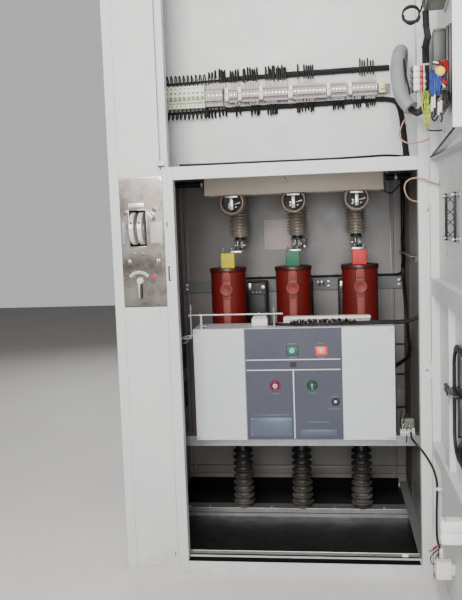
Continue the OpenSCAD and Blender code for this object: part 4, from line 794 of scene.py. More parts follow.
class BAY_OT_isolator(bpy.types.Operator):
    """Makes the isolator's insulators, bell mouths and contacts"""
    bl_idname = "bay.isolator"
    bl_label = "Isolator insulators and contacts"

    def execute(self, context):
        form = Form().use("grey_brown_resin")
        shed = sizes().shed_radius * 1000
        for x in INSULATORS:
            profile = [(0, 1207.2), (24, 1207.2), (28, 1208)] + shed_profile(33.5, shed, 1209, 1325, 9)
            profile += [(36.6, 1328), (36.6, 1376), (34, 1381.4), (0, 1381.4)]
            form.lathe((x, 690, 0), "z", profile, 44)
        form.use("black_steel")
        for x in INSULATORS:
            form.lathe((x, 690, 0), "z", [
                (10, 1196.6), (21.5, 1196.6), (22, 1198), (22, 1206), (21, 1207.1), (10, 1207.1),
            ], 28, True)
        form.done("isolator_insulator_bodies", "grey_brown_resin", "isolator_insulators")

        bells = Form().use("brown_resin")
        for x in BELLS:
            # an open mouth at the front, a shoulder and a neck that runs to the insulator
            bells.lathe((x, 0, 1351.7), "d", [
                (38.6, 460), (38.6, 407), (39.6, 402.4), (42, 400.2), (45.6, 400), (49, 402), (50.4, 407), (50.4, 458),
                (48, 466), (42, 472), (34, 478), (30, 486), (30, 644.4), (0, 644.4), (0, 460),
            ], 48)
        bells.use("black_resin")
        for x in BELLS:
            bells.lathe((x, 0, 1351.7), "d", [(0, 457.4), (38.4, 457.4), (38.4, 459.9), (0, 459.9)], 40)
        bells.done("isolator_bell_mouths", "brown_resin", "isolator_bushings")

        metal = Form().use("tinned_copper")
        for x in BELLS:
            metal.blocks(
                (x - 7, x + 7, 388, 459.6, 1322.7, 1368, 1.2), (x - 26, x + 26, 388, 399.7, 1370, 1378.7, 1.2))
            metal.rods(
                ((x + 7, 408, 1344), (x + 31, 406, 1350), 2.6, 14), ((x + 30, 406, 1350), (x + 34, 406, 1351), 4, 14),
                ((x + 12, 404, 1332), (x + 20, 404, 1335), 3.2, 14),
                ((x - 14, 430, 1345), (x - 14, 452, 1345), 4.2, 14),
                ((x - 14, 430, 1333), (x - 14, 452, 1333), 4.2, 14))
        metal.use("zinc_steel")
        for x in BELLS:
            metal.bolts(((x - 7, 414, 1338), "-x", 9, 4, 7, 3), ((x, 388, 1331), "-d", 7, 3, 5))
        metal.done("isolator_contact_blades", "tinned_copper", "isolator_contacts")

        links = Form()
        for x in (-174, 73, 327):
            links.use("tinned_copper").block(x - 23, x + 23, 540, 716, 1145.6, 1153.2, 1.2)
            links.use("black_steel").blocks(
                (x - 14, x + 6, 634, 656, 1153, 1164, 2.4, 2), (x - 2, x + 24, 676, 704, 1153, 1161, 2.4, 2),
                (x - 21, x + 25, 668, 712, 1190.6, 1196.7, 1.6, 2))
            links.use("zinc_steel").rod((x - 4, 645, 1153), (x - 4, 645, 1193), 3.8, 16, 0.5)
            links.bolts(((x - 4, 645, 1166), "z", 12, 5, 0), ((x - 4, 645, 1189), "z", 12, 5, 0))
            links.use("grey_plastic").lathe((x + 10, 690, 0), "z", [
                (0, 1153), (12, 1153), (12, 1158), (9.5, 1160), (9.5, 1186), (12, 1188), (12, 1191), (0, 1191),
            ], 26)
        links.use("black_steel").blocks((98, 118, 640, 643, 1159, 1196, 1, 2), (92, 118, 640, 664, 1153, 1160, 1, 2))
        links.use("zinc_steel").bolt((110, 640, 1160), "-d", 9, 4, 6)
        links.done("link_plates", "tinned_copper", "phase_links")

        shield = Form().use("beige_paint")
        shield.blocks(
            (-273, 422.6, 384, 386.5, 1381.4, 1470.4, 0.8), (-273, -270.5, 386, 499.8, 1381.4, 1470.4, 0.5),
            (420.1, 422.6, 386, 499.8, 1381.4, 1470.4, 0.5), (-273, 422.6, 386, 499.8, 1467.9, 1470.4, 0.5))
        shield.use("shadow_seam").wires([[
            (42, 383.8, 1437), (44, 383.8, 1441), (49, 383.8, 1440), (50, 383.8, 1433), (53, 383.8, 1428),
            (60, 383.8, 1426),
        ]], 0.9, 6)
        shield.wires([[(40, 383.8, 1424), (46, 383.8, 1422), (56, 383.8, 1422), (62, 383.8, 1425)]], 0.7, 6)
        shield.done("isolator_shield", "beige_paint")

        frame_bits = Form().use("zinc_steel")
        for x in (-262, -40, 180, 420):
            frame_bits.bolt((x, 384, 1462), "-d", 9, 4, 7)
        for d in (530, 620, 670):
            frame_bits.bolt((443, d, 1452), "x", 11, 6, 9, 5)
        frame_bits.bolts(((443, 540, 1432), "x", 14, 6, 12), ((-279.3, 482, 1432), "-x", 13, 5, 10))
        frame_bits.ring((-300, 480, 1432), "x", 12, 17, 9, 24)
        frame_bits.ring((480, 540, 1432), "x", 12, 17, 9, 24)
        frame_bits.done("isolator_fastenings", "zinc_steel")
        return {"FINISHED"}


# The breaker

POLES = (-211, 62, 335)


class BAY_OT_poles(bpy.types.Operator):
    """Makes the three cast poles with their front ribs, bosses and arms"""
    bl_idname = "bay.poles"
    bl_label = "Breaker poles"

    def execute(self, context):
        form = Form()
        for x in POLES:
            form.use("red_resin").lathe((x, 552, 0), "z", [
                (0, 590.3), (66, 590.3), (71, 592), (73, 597), (73, 640), (72.2, 644), (72.2, 650), (73, 654),
                (73, 1062), (75, 1068),
            ], 56)
            form.use("dark_red_rim").lathe((x, 552, 0), "z", [
                (75, 1068), (76.6, 1070), (77, 1073), (77, 1081), (75.5, 1084.6), (60, 1085.2), (54, 1083),
                (40, 1082), (0, 1082),
            ], 56)
            form.use("red_resin")
            for up in (600.3, 750.3):
                form.block(x - 45, x + 45, 405.4, 497, up, up + 60, 4, 3)
            form.block(x - 20, x + 20, 474.5, 492, 860, 1064, 3, 3)
            form.use("red_rib").blocks(
                (x - 15, x + 15, 473, 490, 604, 957, 2.4, 3), (x - 15, x + 15, 473, 490, 1030, 1070, 2.4, 3))
            form.lathe((x, 0, 997.3), "-d", [
                (0, -490), (27, -490), (27, -471.5), (26, -469.6), (24, -469), (20, -469.4), (18.5, -470.4),
                (0, -470.4),
            ], 40)
            form.use("zinc_steel")
            for side in (-28, 28):
                for up in (612, 798):
                    form.bolt((x + side, 497, up), "d", 12, 6, 10, 4)
        form.done("pole_bodies", "red_resin", "breaker_poles")

        for x, name in zip(POLES, ("yellow", "green", "red")):
            sleeve = Form().use("sleeve_" + name)
            sleeve.blocks(
                (x - 28.5, x + 28.5, 545, 559, 1082.4, 1145.2, 3, 4),
                (x - 26.5, x + 26.5, 544.6, 545.2, 1090, 1094, 0.2))
            sleeve.done("sleeve_" + name, "sleeve_green", "phase_sleeves")

        links = Form().use("zinc_steel")
        for x in POLES:
            for side in (-18, 18):
                links.bolt((x + side, 552, 1153.4), "z", 12, 6, 9, 5)
        for x in INSULATORS:
            for depth in (676, 704):
                for side, axis in ((-12, "-x"), (12, "x")):
                    links.bolt((x + side, depth, 1172), axis, 12, 6, 9, 4)
        links.done("link_bolts", "zinc_steel")
        return {"FINISHED"}


class BAY_OT_breaker_front(bpy.types.Operator):
    """Makes the face's lines, indicators, plates, buttons and the housing's seams and screws"""
    bl_idname = "bay.breaker_front"
    bl_label = "Breaker front"

    def execute(self, context):
        form = Form().use("face_white")
        front = 241.7  # the face plate's depth
        form.blocks(
            (-113, 244, front - 0.5, front + 0.2, 743.5, 747, 0.15),
            (-113, 244, front - 0.5, front + 0.2, 704, 707.5, 0.15),
            (63.6, 67.6, front - 0.5, front + 0.2, 438, 705, 0.15))
        # the closed and open flags in their windows
        flags = (
            (63.5, 765, "black_plastic", "flag_green", "face_white"),
            (173.5, 763, "flag_red", "flag_red", "flag_amber"),
        )
        edges = ((-23, 23, 15, 17.5), (-23, 23, -17.5, -15), (-23, -20.5, -17.5, 17.5), (20.5, 23, -17.5, 17.5))
        for x, low, dark, flag, pale in flags:
            form.use(dark)
            for a, b, c, d in edges:
                form.block(x + a, x + b, front - 1.6, front + 0.2, low + 15 + c, low + 15 + d, 0.5)
            form.use(flag).block(x - 21, x + 21, front - 0.4, front + 0.2, low - 1, low + 31, 0.1)
            form.use(pale)
            if flag == "flag_green":
                form.ring((x - 1, front - 0.9, low + 15), "-d", 4.5, 8.2, 0.5, 28)
            else:
                form.block(x - 15, x + 15, front - 0.8, front, low + 4, low + 27, 0.4)
                form.use("face_white").block(x - 3.5, x - 0.5, front - 1.1, front - 0.5, low + 7, low + 24, 0.2)
        # bare caption bars over and under the flags and the buttons
        form.use("name_plate")
        captions = (
            (64, 806, 30), (64, 752.5, 28), (173, 806, 26), (173, 752.5, 26),
            (-5, 614, 28), (136, 614, 28), (223, 600, 30), (220, 553, 48),
        )
        for x, up, wide in captions:
            form.block(x - wide / 2, x + wide / 2, front - 0.3, front + 0.2, up - 2, up + 2, 0.1)
        form.blocks(
            (-105, 54, front - 0.9, front + 0.2, 447, 519, 0.4), (-96, 44, front - 0.3, front + 0.2, 528, 532, 0.1),
            (88, 226, front - 0.3, front + 0.2, 448, 472, 0.1), (110, 200, front - 0.3, front + 0.2, 500, 504, 0.1))
        form.use("shadow_seam").block(54, 78, front - 0.4, front + 0.2, 716, 736, 0.15)
        form.use("black_plastic").lathe((223, front + 0.2, 581), "-d", [
            (0, 0), (16, 0), (16, 2), (14, 3.4), (6.5, 3.4), (5.5, 1.8), (0, 1.8),
        ], 36)
        form.use("face_white").lathe((223, front - 1.6, 581), "-d",
            [(0, 0), (5.2, 0), (5.2, 0.4), (4, 1.2), (0, 1.6)], 32)
        form.use("zinc_steel")
        for x in (-98, 48):
            for up in (452, 514):
                form.screw((x, front - 0.8, up), "-d", 2, 1.1)
        form.done("face_details", "face_paint")

        for name, x, ring, mark in (("off", -5.5, "button_red", "O"), ("on", 135.5, "button_green", "I")):
            knob = Form().use(ring)
            knob.lathe((x, 0, 645), "d", [
                (0, 236), (11.5, 236), (13.2, 234.4), (15, 233.8), (16.5, 234.6), (17, 236.4), (17, 244.4), (0, 244.4),
            ], 40)
            knob.use("face_white")
            if mark == "O":
                knob.ring((x, 235.6, 645), "d", 4, 8, 0.6, 32)
            else:
                knob.block(x - 1.2, x + 1.2, 235.6, 236.1, 638, 652, 0.2)
            knob.done(name + "_button_cap", ring, name + "_button", body=name + "_button")
            collar = Form().use(ring)
            collar.lathe((x, 0, 645), "d", [(17.9, 239), (20.6, 239), (21.2, 240), (21.2, 242), (17.9, 242)], 40, True)
            collar.done(name + "_button_collar", ring)

        box = Form().use("zinc_steel")
        for x, up in ((-308, 439), (438, 439), (425, 439), (-308, 858), (438, 858)):
            box.screw((x, 245, up), "-d", 4, 1.8)
        for depth in (262, 390):
            for up in (450, 560, 740, 850):
                box.screws(((-317, depth, up), "-x", 4, 1.8), ((447, depth, up), "x", 4, 1.8))
        for x in (-300, -180, -60, 60, 180, 300, 430):
            box.screw((x, 392, 867.3), "z", 4, 1.8)
        box.use("shadow_seam").blocks(
            (-317.3, -316.8, 277, 278.2, 440, 860, 0.1), (446.8, 447.3, 277, 278.2, 440, 860, 0.1),
            (-310, 440, 277, 278.2, 866.9, 867.6, 0.1))
        for x in (-119.6, 250.4):
            box.block(x - 0.7, x + 0.7, 244.3, 245.2, 433, 866, 0.1)
        box.use("housing_paint").block(-121.4, -120.5, 244.2, 245.2, 433, 866, 0.2)
        box.done("housing_fastenings", "housing_paint")
        return {"FINISHED"}


LOWER_INSULATORS = (-178, 75, 328)


class BAY_OT_lower_insulators(bpy.types.Operator):
    """Makes the three lower insulators and the bolts of their bars"""
    bl_idname = "bay.lower_insulators"
    bl_label = "Lower insulators"

    def execute(self, context):
        form = Form().use("dark_resin")
        shed = sizes().lower_shed_radius * 1000
        for x in LOWER_INSULATORS:
            sheds = shed_profile(31, shed, 50, 303, 9)
            # the sheds grow smaller upwards
            body = [(r if r < 33 else r * (1 - 0.09 * (up - 50) / 253), up) for r, up in sheds]
            profile = [(0, 44.4), (34, 44.4), (37, 47), *body, (29, 306), (28, 326), (25, 329.2), (0, 329.2)]
            form.lathe((x, 575, 0), "z", profile, 44)
        form.done("lower_insulator_bodies", "black_resin", "lower_insulators")

        bolts = Form().use("zinc_steel")
        for x in LOWER_INSULATORS:
            bolts.bolts(
                ((x, 575, 337.4), "z", 16, 8, 12, 4), ((x - 12, 608, 337.4), "z", 10, 5, 8),
                ((x + 12, 625.2, 470), "-d", 12, 6, 9, 4), ((x - 12, 625.2, 630), "-d", 12, 6, 9, 4))
        for x in (-420, -330, -60, 210, 420):
            bolts.bolt((x, 558, 44), "z", 12, 6, 9)
        bolts.use("shadow_seam").block(-540, 540, 544.4, 545.1, 22, 25, 0.1)
        bolts.done("lower_bar_bolts", "zinc_steel")
        return {"FINISHED"}


# On and round the breaker

def even_run(points, pitch):
    """Places at an even spacing, in metres, along a smooth curve through the given places."""
    dense = smooth_path(points, 24)
    run, carried = [dense[0]], 0.0
    for a, b in zip(dense, dense[1:]):
        step = (b - a).length
        while carried + step >= pitch:
            a = a.lerp(b, (pitch - carried) / step)
            step = (b - a).length
            carried = 0.0
            run.append(a.copy())
        carried += step
    return run


def bundle(form, points, radius, count=6, ties=0.07):
    """A loom of wires that turn slowly about its middle, held by narrow ties at a spacing in metres."""
    pitch, turn_per_step = 0.012, 0.102
    run = even_run([at(*p) for p in points], pitch)
    across = radius * 0.52
    paths, frames, side = [], [], None
    for i, place in enumerate(run):
        along = (run[min(i + 1, len(run) - 1)] - run[max(i - 1, 0)]).normalized()
        if side is None:
            side = along.orthogonal().normalized()
        side = (side - along * side.dot(along)).normalized()
        frames.append((place, side.copy(), along.cross(side)))
    for k in range(count):
        path = []
        for i, (place, side, up) in enumerate(frames):
            angle = math.tau * k / count + i * turn_per_step
            path.append(place + (side * math.cos(angle) + up * math.sin(angle)) * across / 1000)
        paths.append(path)
    paths.append([place for place, _, _ in frames])
    form.wires(paths, radius * 0.5, 6, 0)
    if ties:
        count = max(1, int(len(run) * pitch / ties))
        for i in range(count):
            spot = int((i + 0.5) * (len(run) - 2) / count)
            form.wires([[run[spot], run[spot].lerp(run[spot + 1], 0.35)]], radius * 1.16, 10, 0)


class BAY_OT_breaker_top(bpy.types.Operator):
    """Makes the terminal strip, its wires and the small fittings on and beside the breaker"""
    bl_idname = "bay.breaker_top"
    bl_label = "Breaker top and wiring"

    def execute(self, context):
        rng = random.Random(7)
        form = Form().use("zinc_steel")
        form.block(28, 366, 308, 346, 867.6, 871, 0.5)
        form.use("white_plastic").blocks(
            (32, 362, 322, 347, 871, 901, 1.6, 3), (60, 364, 306, 324, 890, 901.3, 1.6, 3),
            (30, 58, 304, 330, 871, 900, 1.4, 3))
        form.use("rail_terminals")
        for i in range(36):
            x = 62 + i * 8.2
            form.block(x, x + 7.2, 307 + (i % 2), 323, 871, 889 - (i % 3) * 0.8, 0.6, 1)
        form.use("terminal_shade")
        for up in (878, 886, 893):
            form.block(33, 55, 303.6, 304.4, up, up + 2.4, 0.3)
        form.use("white_plastic").blocks(
            (-95, -32, 305, 355, 867.6, 899, 5, 4), (-90, -37, 309, 351, 898, 905.2, 3, 3))
        form.use("zinc_steel").screw((-64, 330, 905), "z", 4, 2)
        form.rod((-66, 322, 904), (-66, 322, 918), 2.4, 10)
        form.done("breaker_top_blocks", "white_plastic", "terminal_strip")

        # the black wires curl out of the strip and lie down into one bundle
        lead = sizes().wire_radius * 1000
        loops = Form().use("black_wire")
        paths = []
        for i in range(62):
            x = 58 + i * 4.1 + rng.uniform(-1.5, 1.5)
            high = 886 + rng.uniform(-4, 8)
            out = rng.uniform(8, 20)
            paths.append([
                (x, 309, 880 + rng.uniform(-4, 3)), (x + rng.uniform(-3, 3), 303, high),
                (x + rng.uniform(-3, 4), 300 - out, 882 + rng.uniform(-5, 4)),
                (x + 6, 295 - out * 0.5, 874), (x + 16, 294 - rng.uniform(0, 12), 871.5),
                (min(x + 60, 372), 292 - rng.uniform(0, 8), 872 + rng.uniform(0, 3)),
            ])
        loops.wires(paths, lead * 1.25, 6, 5)
        bundle(loops, [
            (-40, 330, 873), (0, 322, 872.6), (20, 300, 874), (120, 288, 873.5), (250, 288, 873.5), (340, 291, 874),
            (416, 292, 874.6), (446, 293, 873.6), (462, 294, 872), (490, 296, 874), (518, 299, 881), (532, 301, 886),
            (544, 302, 891),
        ], 5.2, 5)
        bundle(loops, [
            (250, 296, 876), (340, 298, 879), (416, 299, 881), (452, 299, 880), (490, 301, 882), (520, 303, 888),
            (544, 305, 896),
        ], 3.6, 3, ties=0)
        loops.use("rubber").lathe((544.6, 303, 893), "-x", [(9, 0), (15, 0), (15, 3), (12, 5), (9, 5)], 24, True)
        loops.use("pale_wire")
        for i in range(10):
            x = 70 + i * 24 + rng.uniform(-6, 6)
            loops.rod((x, 301 + rng.uniform(-2, 2), 876), (x + rng.uniform(-3, 3), 300, 887), 1.9, 8, 0.2)
        loops.done("breaker_top_wires", "black_wire")

        rods = Form().use("zinc_steel")
        for x, up in ((-327, 944), (-3, 935)):
            rods.bolts(((x, 265, up), "z", 13, 6, 11), ((x, 265, up - 2), "-z", 11, 5, 9))
        rods.lathe((-327, 265, 955), "z", [(4.2, 0), (5.4, 1), (5.4, 5), (4.2, 6)], 16, True)
        rods.bolts(((-331, 265, 920.3), "-x", 10, 5, 8), ((24, 265, 920.3), "x", 10, 5, 0))
        for x in (-287, -60):
            rods.ring((x - 4, 265, 920.3), "x", 4.1, 7.4, 7, 18)
        rods.block(-287, -265, 258, 272, 875.6, 878.2, 0.8)
        rods.bolt((-272, 265, 878), "z", 9, 4, 7)
        rods.wires([[(-364, 262, 835), (-352, 262, 837), (-338, 263, 840), (-322, 265, 841)]], 3, 10)
        rods.wires([[
            (-392, 263, 818), (-374, 263, 812), (-356, 262, 812), (-344, 263, 817), (-338, 265, 826),
        ]], 2.2, 10)
        rods.bolts(((-346, 264, 830.3), "-x", 13, 8, 0), ((-456, 265, 830.3), "-x", 13, 8, 12))
        rods.wires([[(-333, 265, 826), (-337, 262, 832), (-333, 258, 838), (-327, 257, 834), (-325, 260, 827)]], 2, 8)
        rods.done("interlock_fittings", "zinc_steel")

        block = Form().use("white_plastic")
        block.block(468.8, 524.2, 302, 340, 431.3, 447, 1.6, 3)
        for i in range(6):
            x = 469.5 + i * 9.1
            block.block(x, x + 8.2, 300.4, 336, 443, 456 + (i % 2) * 2, 1, 2)
        block.use("grey_green_plastic").blocks(
            (471, 523, 316, 338, 456, 494, 2.4, 3), (474, 500, 308, 318, 457, 480, 1.6, 2))
        block.use("terminal_shade")
        for i in range(6):
            x = 473.6 + i * 9.1
            block.rods(((x, 300.1, 451), (x, 303, 451), 2.4, 12, 0.2), ((x, 301, 438), (x, 303.5, 438), 2.6, 12, 0.2))
        block.use("zinc_steel").screw((518, 301.8, 438), "-d", 3, 1.6)
        block.use("black_wire").wires([
            [(474, 304, 452), (470, 300, 470), (469, 300, 490), (472, 303, 512), (476, 310, 530)],
            [(482, 304, 452), (480, 298, 468), (480, 298, 484), (484, 302, 500), (490, 312, 510)],
            [(490, 304, 452), (496, 298, 462), (506, 298, 462), (510, 303, 452)],
            [(493, 300, 436), (492, 298, 422), (491, 302, 404), (492, 310, 392)],
        ], lead * 1.3, 8)
        block.use("pale_wire").wires([
            [(480, 303, 452), (477, 298, 466), (480, 296, 480)], [(500, 303, 452), (503, 297, 464), (502, 296, 474)],
        ], lead * 1.2, 8)
        block.done("junction_terminals", "white_plastic", "junction_block")
        return {"FINISHED"}


class BAY_OT_bay_wiring(bpy.types.Operator):
    """Makes the black looms on the bay's right lining and along the rear rail"""
    bl_idname = "bay.bay_wiring"
    bl_label = "Bay looms"

    def execute(self, context):
        form = Form().use("black_wire")
        bundle(form, [
            (536.2, 826, 1424), (536.2, 824, 1340), (536.2, 828, 1220), (536.2, 850, 1150), (536.2, 812, 1092),
            (536.2, 846, 1044), (536.2, 822, 990), (536.2, 760, 930), (536.2, 716, 880), (536.2, 680, 820),
            (536.2, 630, 765), (536.2, 585, 720), (522, 552, 692), (496, 500, 684), (470, 440, 682), (456, 400, 681),
        ], 7.6)
        bundle(form, [
            (-172, 893.4, 1012), (-60, 893.4, 1012.4), (60, 893.4, 1013), (180, 893.4, 1012.4), (300, 893.4, 1013),
            (479, 893.4, 1012), (506, 888, 1012), (524, 874, 1016), (532, 860, 1024), (536, 848, 1036),
        ], 5.6, 5, ties=0.11)
        bundle(form, [(536.2, 826, 1420), (537, 806, 1434), (536, 770, 1442), (530, 700, 1446), (520, 640, 1450)], 6.4)
        form.wires([[
            (527, 820, 1412), (507, 812, 1392), (484, 790, 1376), (462, 780, 1384), (446, 760, 1400),
            (436, 740, 1420),
        ]], 2.6, 8)
        form.use("black_plastic")
        for depth, up in ((824, 1390), (826, 1270), (834, 1170), (716, 886), (642, 780)):
            form.block(541.4, 544.7, depth - 8, depth + 8, up - 8, up + 8, 0.8)
        for x in (-110, 0, 120, 240, 360):
            form.block(x - 8, x + 8, 898, 899.9, 1006, 1020, 0.6)
        form.use("rubber").lathe((447.3, 400, 681), "x", [(7.8, 0), (13, 0), (13, 3), (11, 5), (7.8, 5)], 22, True)
        form.done("bay_looms", "black_wire", "wall_looms")
        return {"FINISHED"}


TRANSFORMERS = (-114, 90, 294)


class BAY_OT_current_transformers(bpy.types.Operator):
    """Makes the cast transformers behind the poles with their studs and links"""
    bl_idname = "bay.current_transformers"
    bl_label = "Current transformers"

    def execute(self, context):
        form = Form().use("black_resin")
        for x in TRANSFORMERS:
            form.blocks((x - 46, x + 46, 759.4, 885.4, 783, 1003, 7, 4), (x - 38, x + 38, 756, 764, 800, 950, 3, 3))
            for up in (820, 850, 880, 910):
                form.block(x - 47.6, x + 47.6, 780, 870, up, up + 5, 2, 2)
        form.use("tinned_copper")
        for x in TRANSFORMERS:
            for side in (-30.7, 30.7):
                form.rod((x + side, 758, 980), (x + side, 744, 980), 7, 20)
            form.block(x - 38, x - 22, 749, 752.4, 968, 1000, 0.8)
        form.use("zinc_steel")
        for x in TRANSFORMERS:
            for side in (-30.7, 30.7):
                form.bolt((x + side, 749, 980), "-d", 10, 4, 9)
            for side in (-16, 0, 16):
                form.screw((x + side, 756, 958), "-d", 3.6, 2)
        form.done("transformer_bodies", "black_resin", "current_transformers")
        return {"FINISHED"}


# The control box over the bay

class BAY_OT_control_rows(bpy.types.Operator):
    """Makes the row of small breakers, the rows of terminals and their rail"""
    bl_idname = "bay.control_rows"
    bl_label = "Small breakers and terminals"

    def execute(self, context):
        wide = sizes().module_width * 1000
        places = [-380.5 + i * (wide + 0.15) for i in range(9)]
        form = Form().use("rail_breakers")
        for x in places:
            form.blocks((x, x + wide, 219, 274.4, 1701, 1781, 1.0, 1), (x, x + wide, 205, 221, 1719, 1763, 1.2, 1))
        form.use("toggle_green")
        for x in places:
            form.blocks(
                (x + 3, x + wide - 3, 198, 206, 1732, 1741, 1.4, 1),
                (x + 1.6, x + wide - 1.6, 204.4, 205.4, 1724, 1731, 0.3, 1))
        form.use("terminal_shade")
        for x in places:
            middle = x + wide / 2
            for up in (1709, 1773):
                form.rod((middle, 218.6, up), (middle, 222, up), 3.0, 10, 0)
            form.block(middle - 4, middle + 4, 204.6, 205.3, 1750, 1757, 0.2, 1)
        form.use("zinc_steel").block(-389, 446, 268, 274.9, 1723, 1758, 0.8)
        form.done("small_breakers", "rail_breakers", "lv_breakers")

        rows = Form()
        stops = (-149, -101, -22, 87, 224, 301)

        def terminals(x0, x1, pitch, low, high, nose_low, nose_high, out):
            """A row of clamps between two places, each with a nose, two screw holes and a spot on it."""
            nose = (nose_low + nose_high) / 2
            for i in range(int((x1 - x0) / pitch)):
                x = x0 + i * pitch
                rows.use("rail_terminals").blocks(
                    (x, x + pitch - 0.6, 229 - out, 268, low, high, 0.5, 1),
                    (x, x + pitch - 0.6, 217 - out, 231 - out, nose_low, nose_high, 0.5, 1))
                rows.use("terminal_shade")
                middle = x + pitch / 2 - 0.3
                for up in (nose_low - 5, nose_high + 5):
                    rows.block(middle - 2, middle + 2, 228.2 - out, 230 - out, up - 2.5, up + 2.5, 0, 1)
                rows.use("tinned_copper" if i % 2 else "end_stop").block(middle - 1.6, middle + 1.6, 216.3 - out,
                    217.4 - out, nose - 2.6, nose + 2.6, 0, 1)

        terminals(-228, -157, 7.9, 1704, 1779, 1722, 1760, 6)
        for x0, x1 in zip((-142, -94, -15, 94, 231, 308), (-108, -29, 80, 217, 294, 399)):
            terminals(x0, x1, 6.4, 1715, 1767, 1729, 1753, 0)
        rows.use("end_stop")
        for x in stops:
            rows.block(x - 6.5, x + 6.5, 211, 268, 1719, 1767, 1.4, 2)
        rows.use("terminal_shade").block(-231, -228.8, 214, 268, 1702, 1781, 0.5, 1)
        for x in stops:
            rows.rod((x, 210.6, 1743), (x, 212, 1743), 2.4, 12, 0)
        rows.use("clip_yellow").blocks((404, 428, 236, 268, 1722, 1760, 2, 3), (408, 424, 226, 238, 1734, 1752, 2, 3))
        rows.use("zinc_steel").screw((416, 226, 1743), "-d", 3.6, 2)
        rows.done("terminal_rows", "rail_terminals", "lv_terminals")
        return {"FINISHED"}


UPPER_WIRES = (
    -218, -208, -194, -181, -172, -166, -159, -137, -129, -120, -110, -90, -84, -75, -65, -55, -47, -39, -6, 4, 12,
    19, 25, 34, 40, 47, 53, 62, 68, 113, 135, 143, 151, 159, 167, 337, 345, 355, 365, 375, 386,
)
LOWER_WIRES = (
    -233, -223, -213, -201, -184, -171, -160, -119, -107, -62, -52, -42, -35, -1, 7, 16, 24, 32, 107, 116, 124, 137,
    149, 159, 167, 239, 247, 255, 263, 271, 278, 312, 322, 330, 337, 357, 365, 373, 381, 388,
)


class BAY_OT_control_wiring(bpy.types.Operator):
    """Makes the two looms of the control box and the wires that hook into the rows"""
    bl_idname = "bay.control_wiring"
    bl_label = "Control box wiring"

    def execute(self, context):
        rng = random.Random(11)
        lead = sizes().wire_radius * 1500
        looms = Form().use("black_wire")
        bundle(looms, [(-389, 262, 1798), (-300, 262, 1799), (-250, 262, 1801), (-160, 263, 1804)], 4.4, 4, ties=0.0163)
        bundle(looms, [(-170, 263, 1804), (-100, 265, 1807), (0, 266, 1808), (60, 266, 1808), (120, 265, 1809)], 9)
        bundle(looms, [
            (60, 264, 1810), (150, 264.6, 1811), (250, 264.6, 1812), (340, 264.6, 1813), (452, 264.6, 1814),
        ], 10.6, 7)
        bundle(looms, [(-389, 262, 1690), (-300, 262, 1690), (-220, 262, 1692), (-150, 264, 1694)], 4.4, 4, ties=0.0163)
        bundle(looms, [
            (-160, 264, 1694), (0, 265.6, 1696), (150, 265.6, 1697), (300, 265.6, 1700), (400, 265, 1703),
            (440, 265, 1700), (470, 265, 1688), (484, 265, 1650), (492, 265, 1590), (500, 265, 1520),
            (505, 265, 1485),
        ], 9.6, 7)
        bundle(looms, [
            (446, 262, 1702), (470, 256, 1680), (480, 254, 1640), (486, 254, 1590), (492, 254, 1530),
            (495, 254, 1478),
        ], 6.4, 5)
        looms.wires([[
            (-305, 50, 1481), (-180, 50, 1480), (-30, 52, 1480), (120, 54, 1480), (260, 62, 1481), (350, 80, 1484),
            (420, 110, 1487), (480, 150, 1484), (496, 200, 1486), (500, 250, 1500),
        ]], 4, 10, 8)
        looms.done("control_looms", "black_wire", "lv_looms")

        hooks = Form().use("black_wire")
        upper, lower = [], []
        for i in range(10):
            x = -374 + i * 15.6
            lean = rng.uniform(-2, 2)
            across = (x + 5, x + 5, x + 2 + lean, x - 3 + lean, x - 6, x - 6)
            depths = (246, 240, 240, 248, 258, 262)
            upper.append(list(zip(across, depths, (1780, 1797, 1818, 1825, 1817, 1801))))
            lower.append(list(zip(across, depths, (1702, 1686, 1672, 1665, 1672, 1688))))

        def hook(x, *ups):
            """A wire that leaves a terminal, leans to a side, arches over and dips into the loom."""
            lean = rng.uniform(-1.5, 1.5)
            across = (x, x, x + lean, x + lean, x + lean + 1, x + lean + 1.5, x + 1)
            return list(zip(across, (242, 240, 246, 252, 258, 263, 264), ups))

        for x in UPPER_WIRES:
            top = 1838 + rng.uniform(-5, 6) + max(0, x) * 0.02
            upper.append(hook(x, 1766, 1784, 1812, top - 5, top, top - 6, 1812))
        for x in LOWER_WIRES:
            low = 1668 + rng.uniform(-4, 5) + max(0, x) * 0.03
            lower.append(hook(x, 1716, 1706, 1690, low + 5, low, low + 6, 1692))
        hooks.wires(upper + lower, lead, 6, 3)
        hooks.use("pale_wire")
        for x in UPPER_WIRES:
            hooks.rod((x, 241.6, 1767), (x, 240, 1785 + rng.uniform(-3, 5)), lead * 1.35, 8, 0)
        for x in LOWER_WIRES:
            hooks.rod((x, 241.6, 1715), (x, 241, 1704), lead * 1.35, 8, 0)
        hooks.done("control_wire_hooks", "black_wire")
        return {"FINISHED"}


CONDUIT_ROUTE = (
    (478, 251.7, 1726), (480, 247.7, 1766), (482, 230.7, 1803), (482, 197.7, 1830), (479, 157.7, 1842),
    (472, 116, 1839), (463, 80, 1821), (456, 48, 1791), (452, 18, 1751), (452, -10, 1707), (459, -34, 1668),
    (471, -51, 1642), (485, -62, 1623),
)


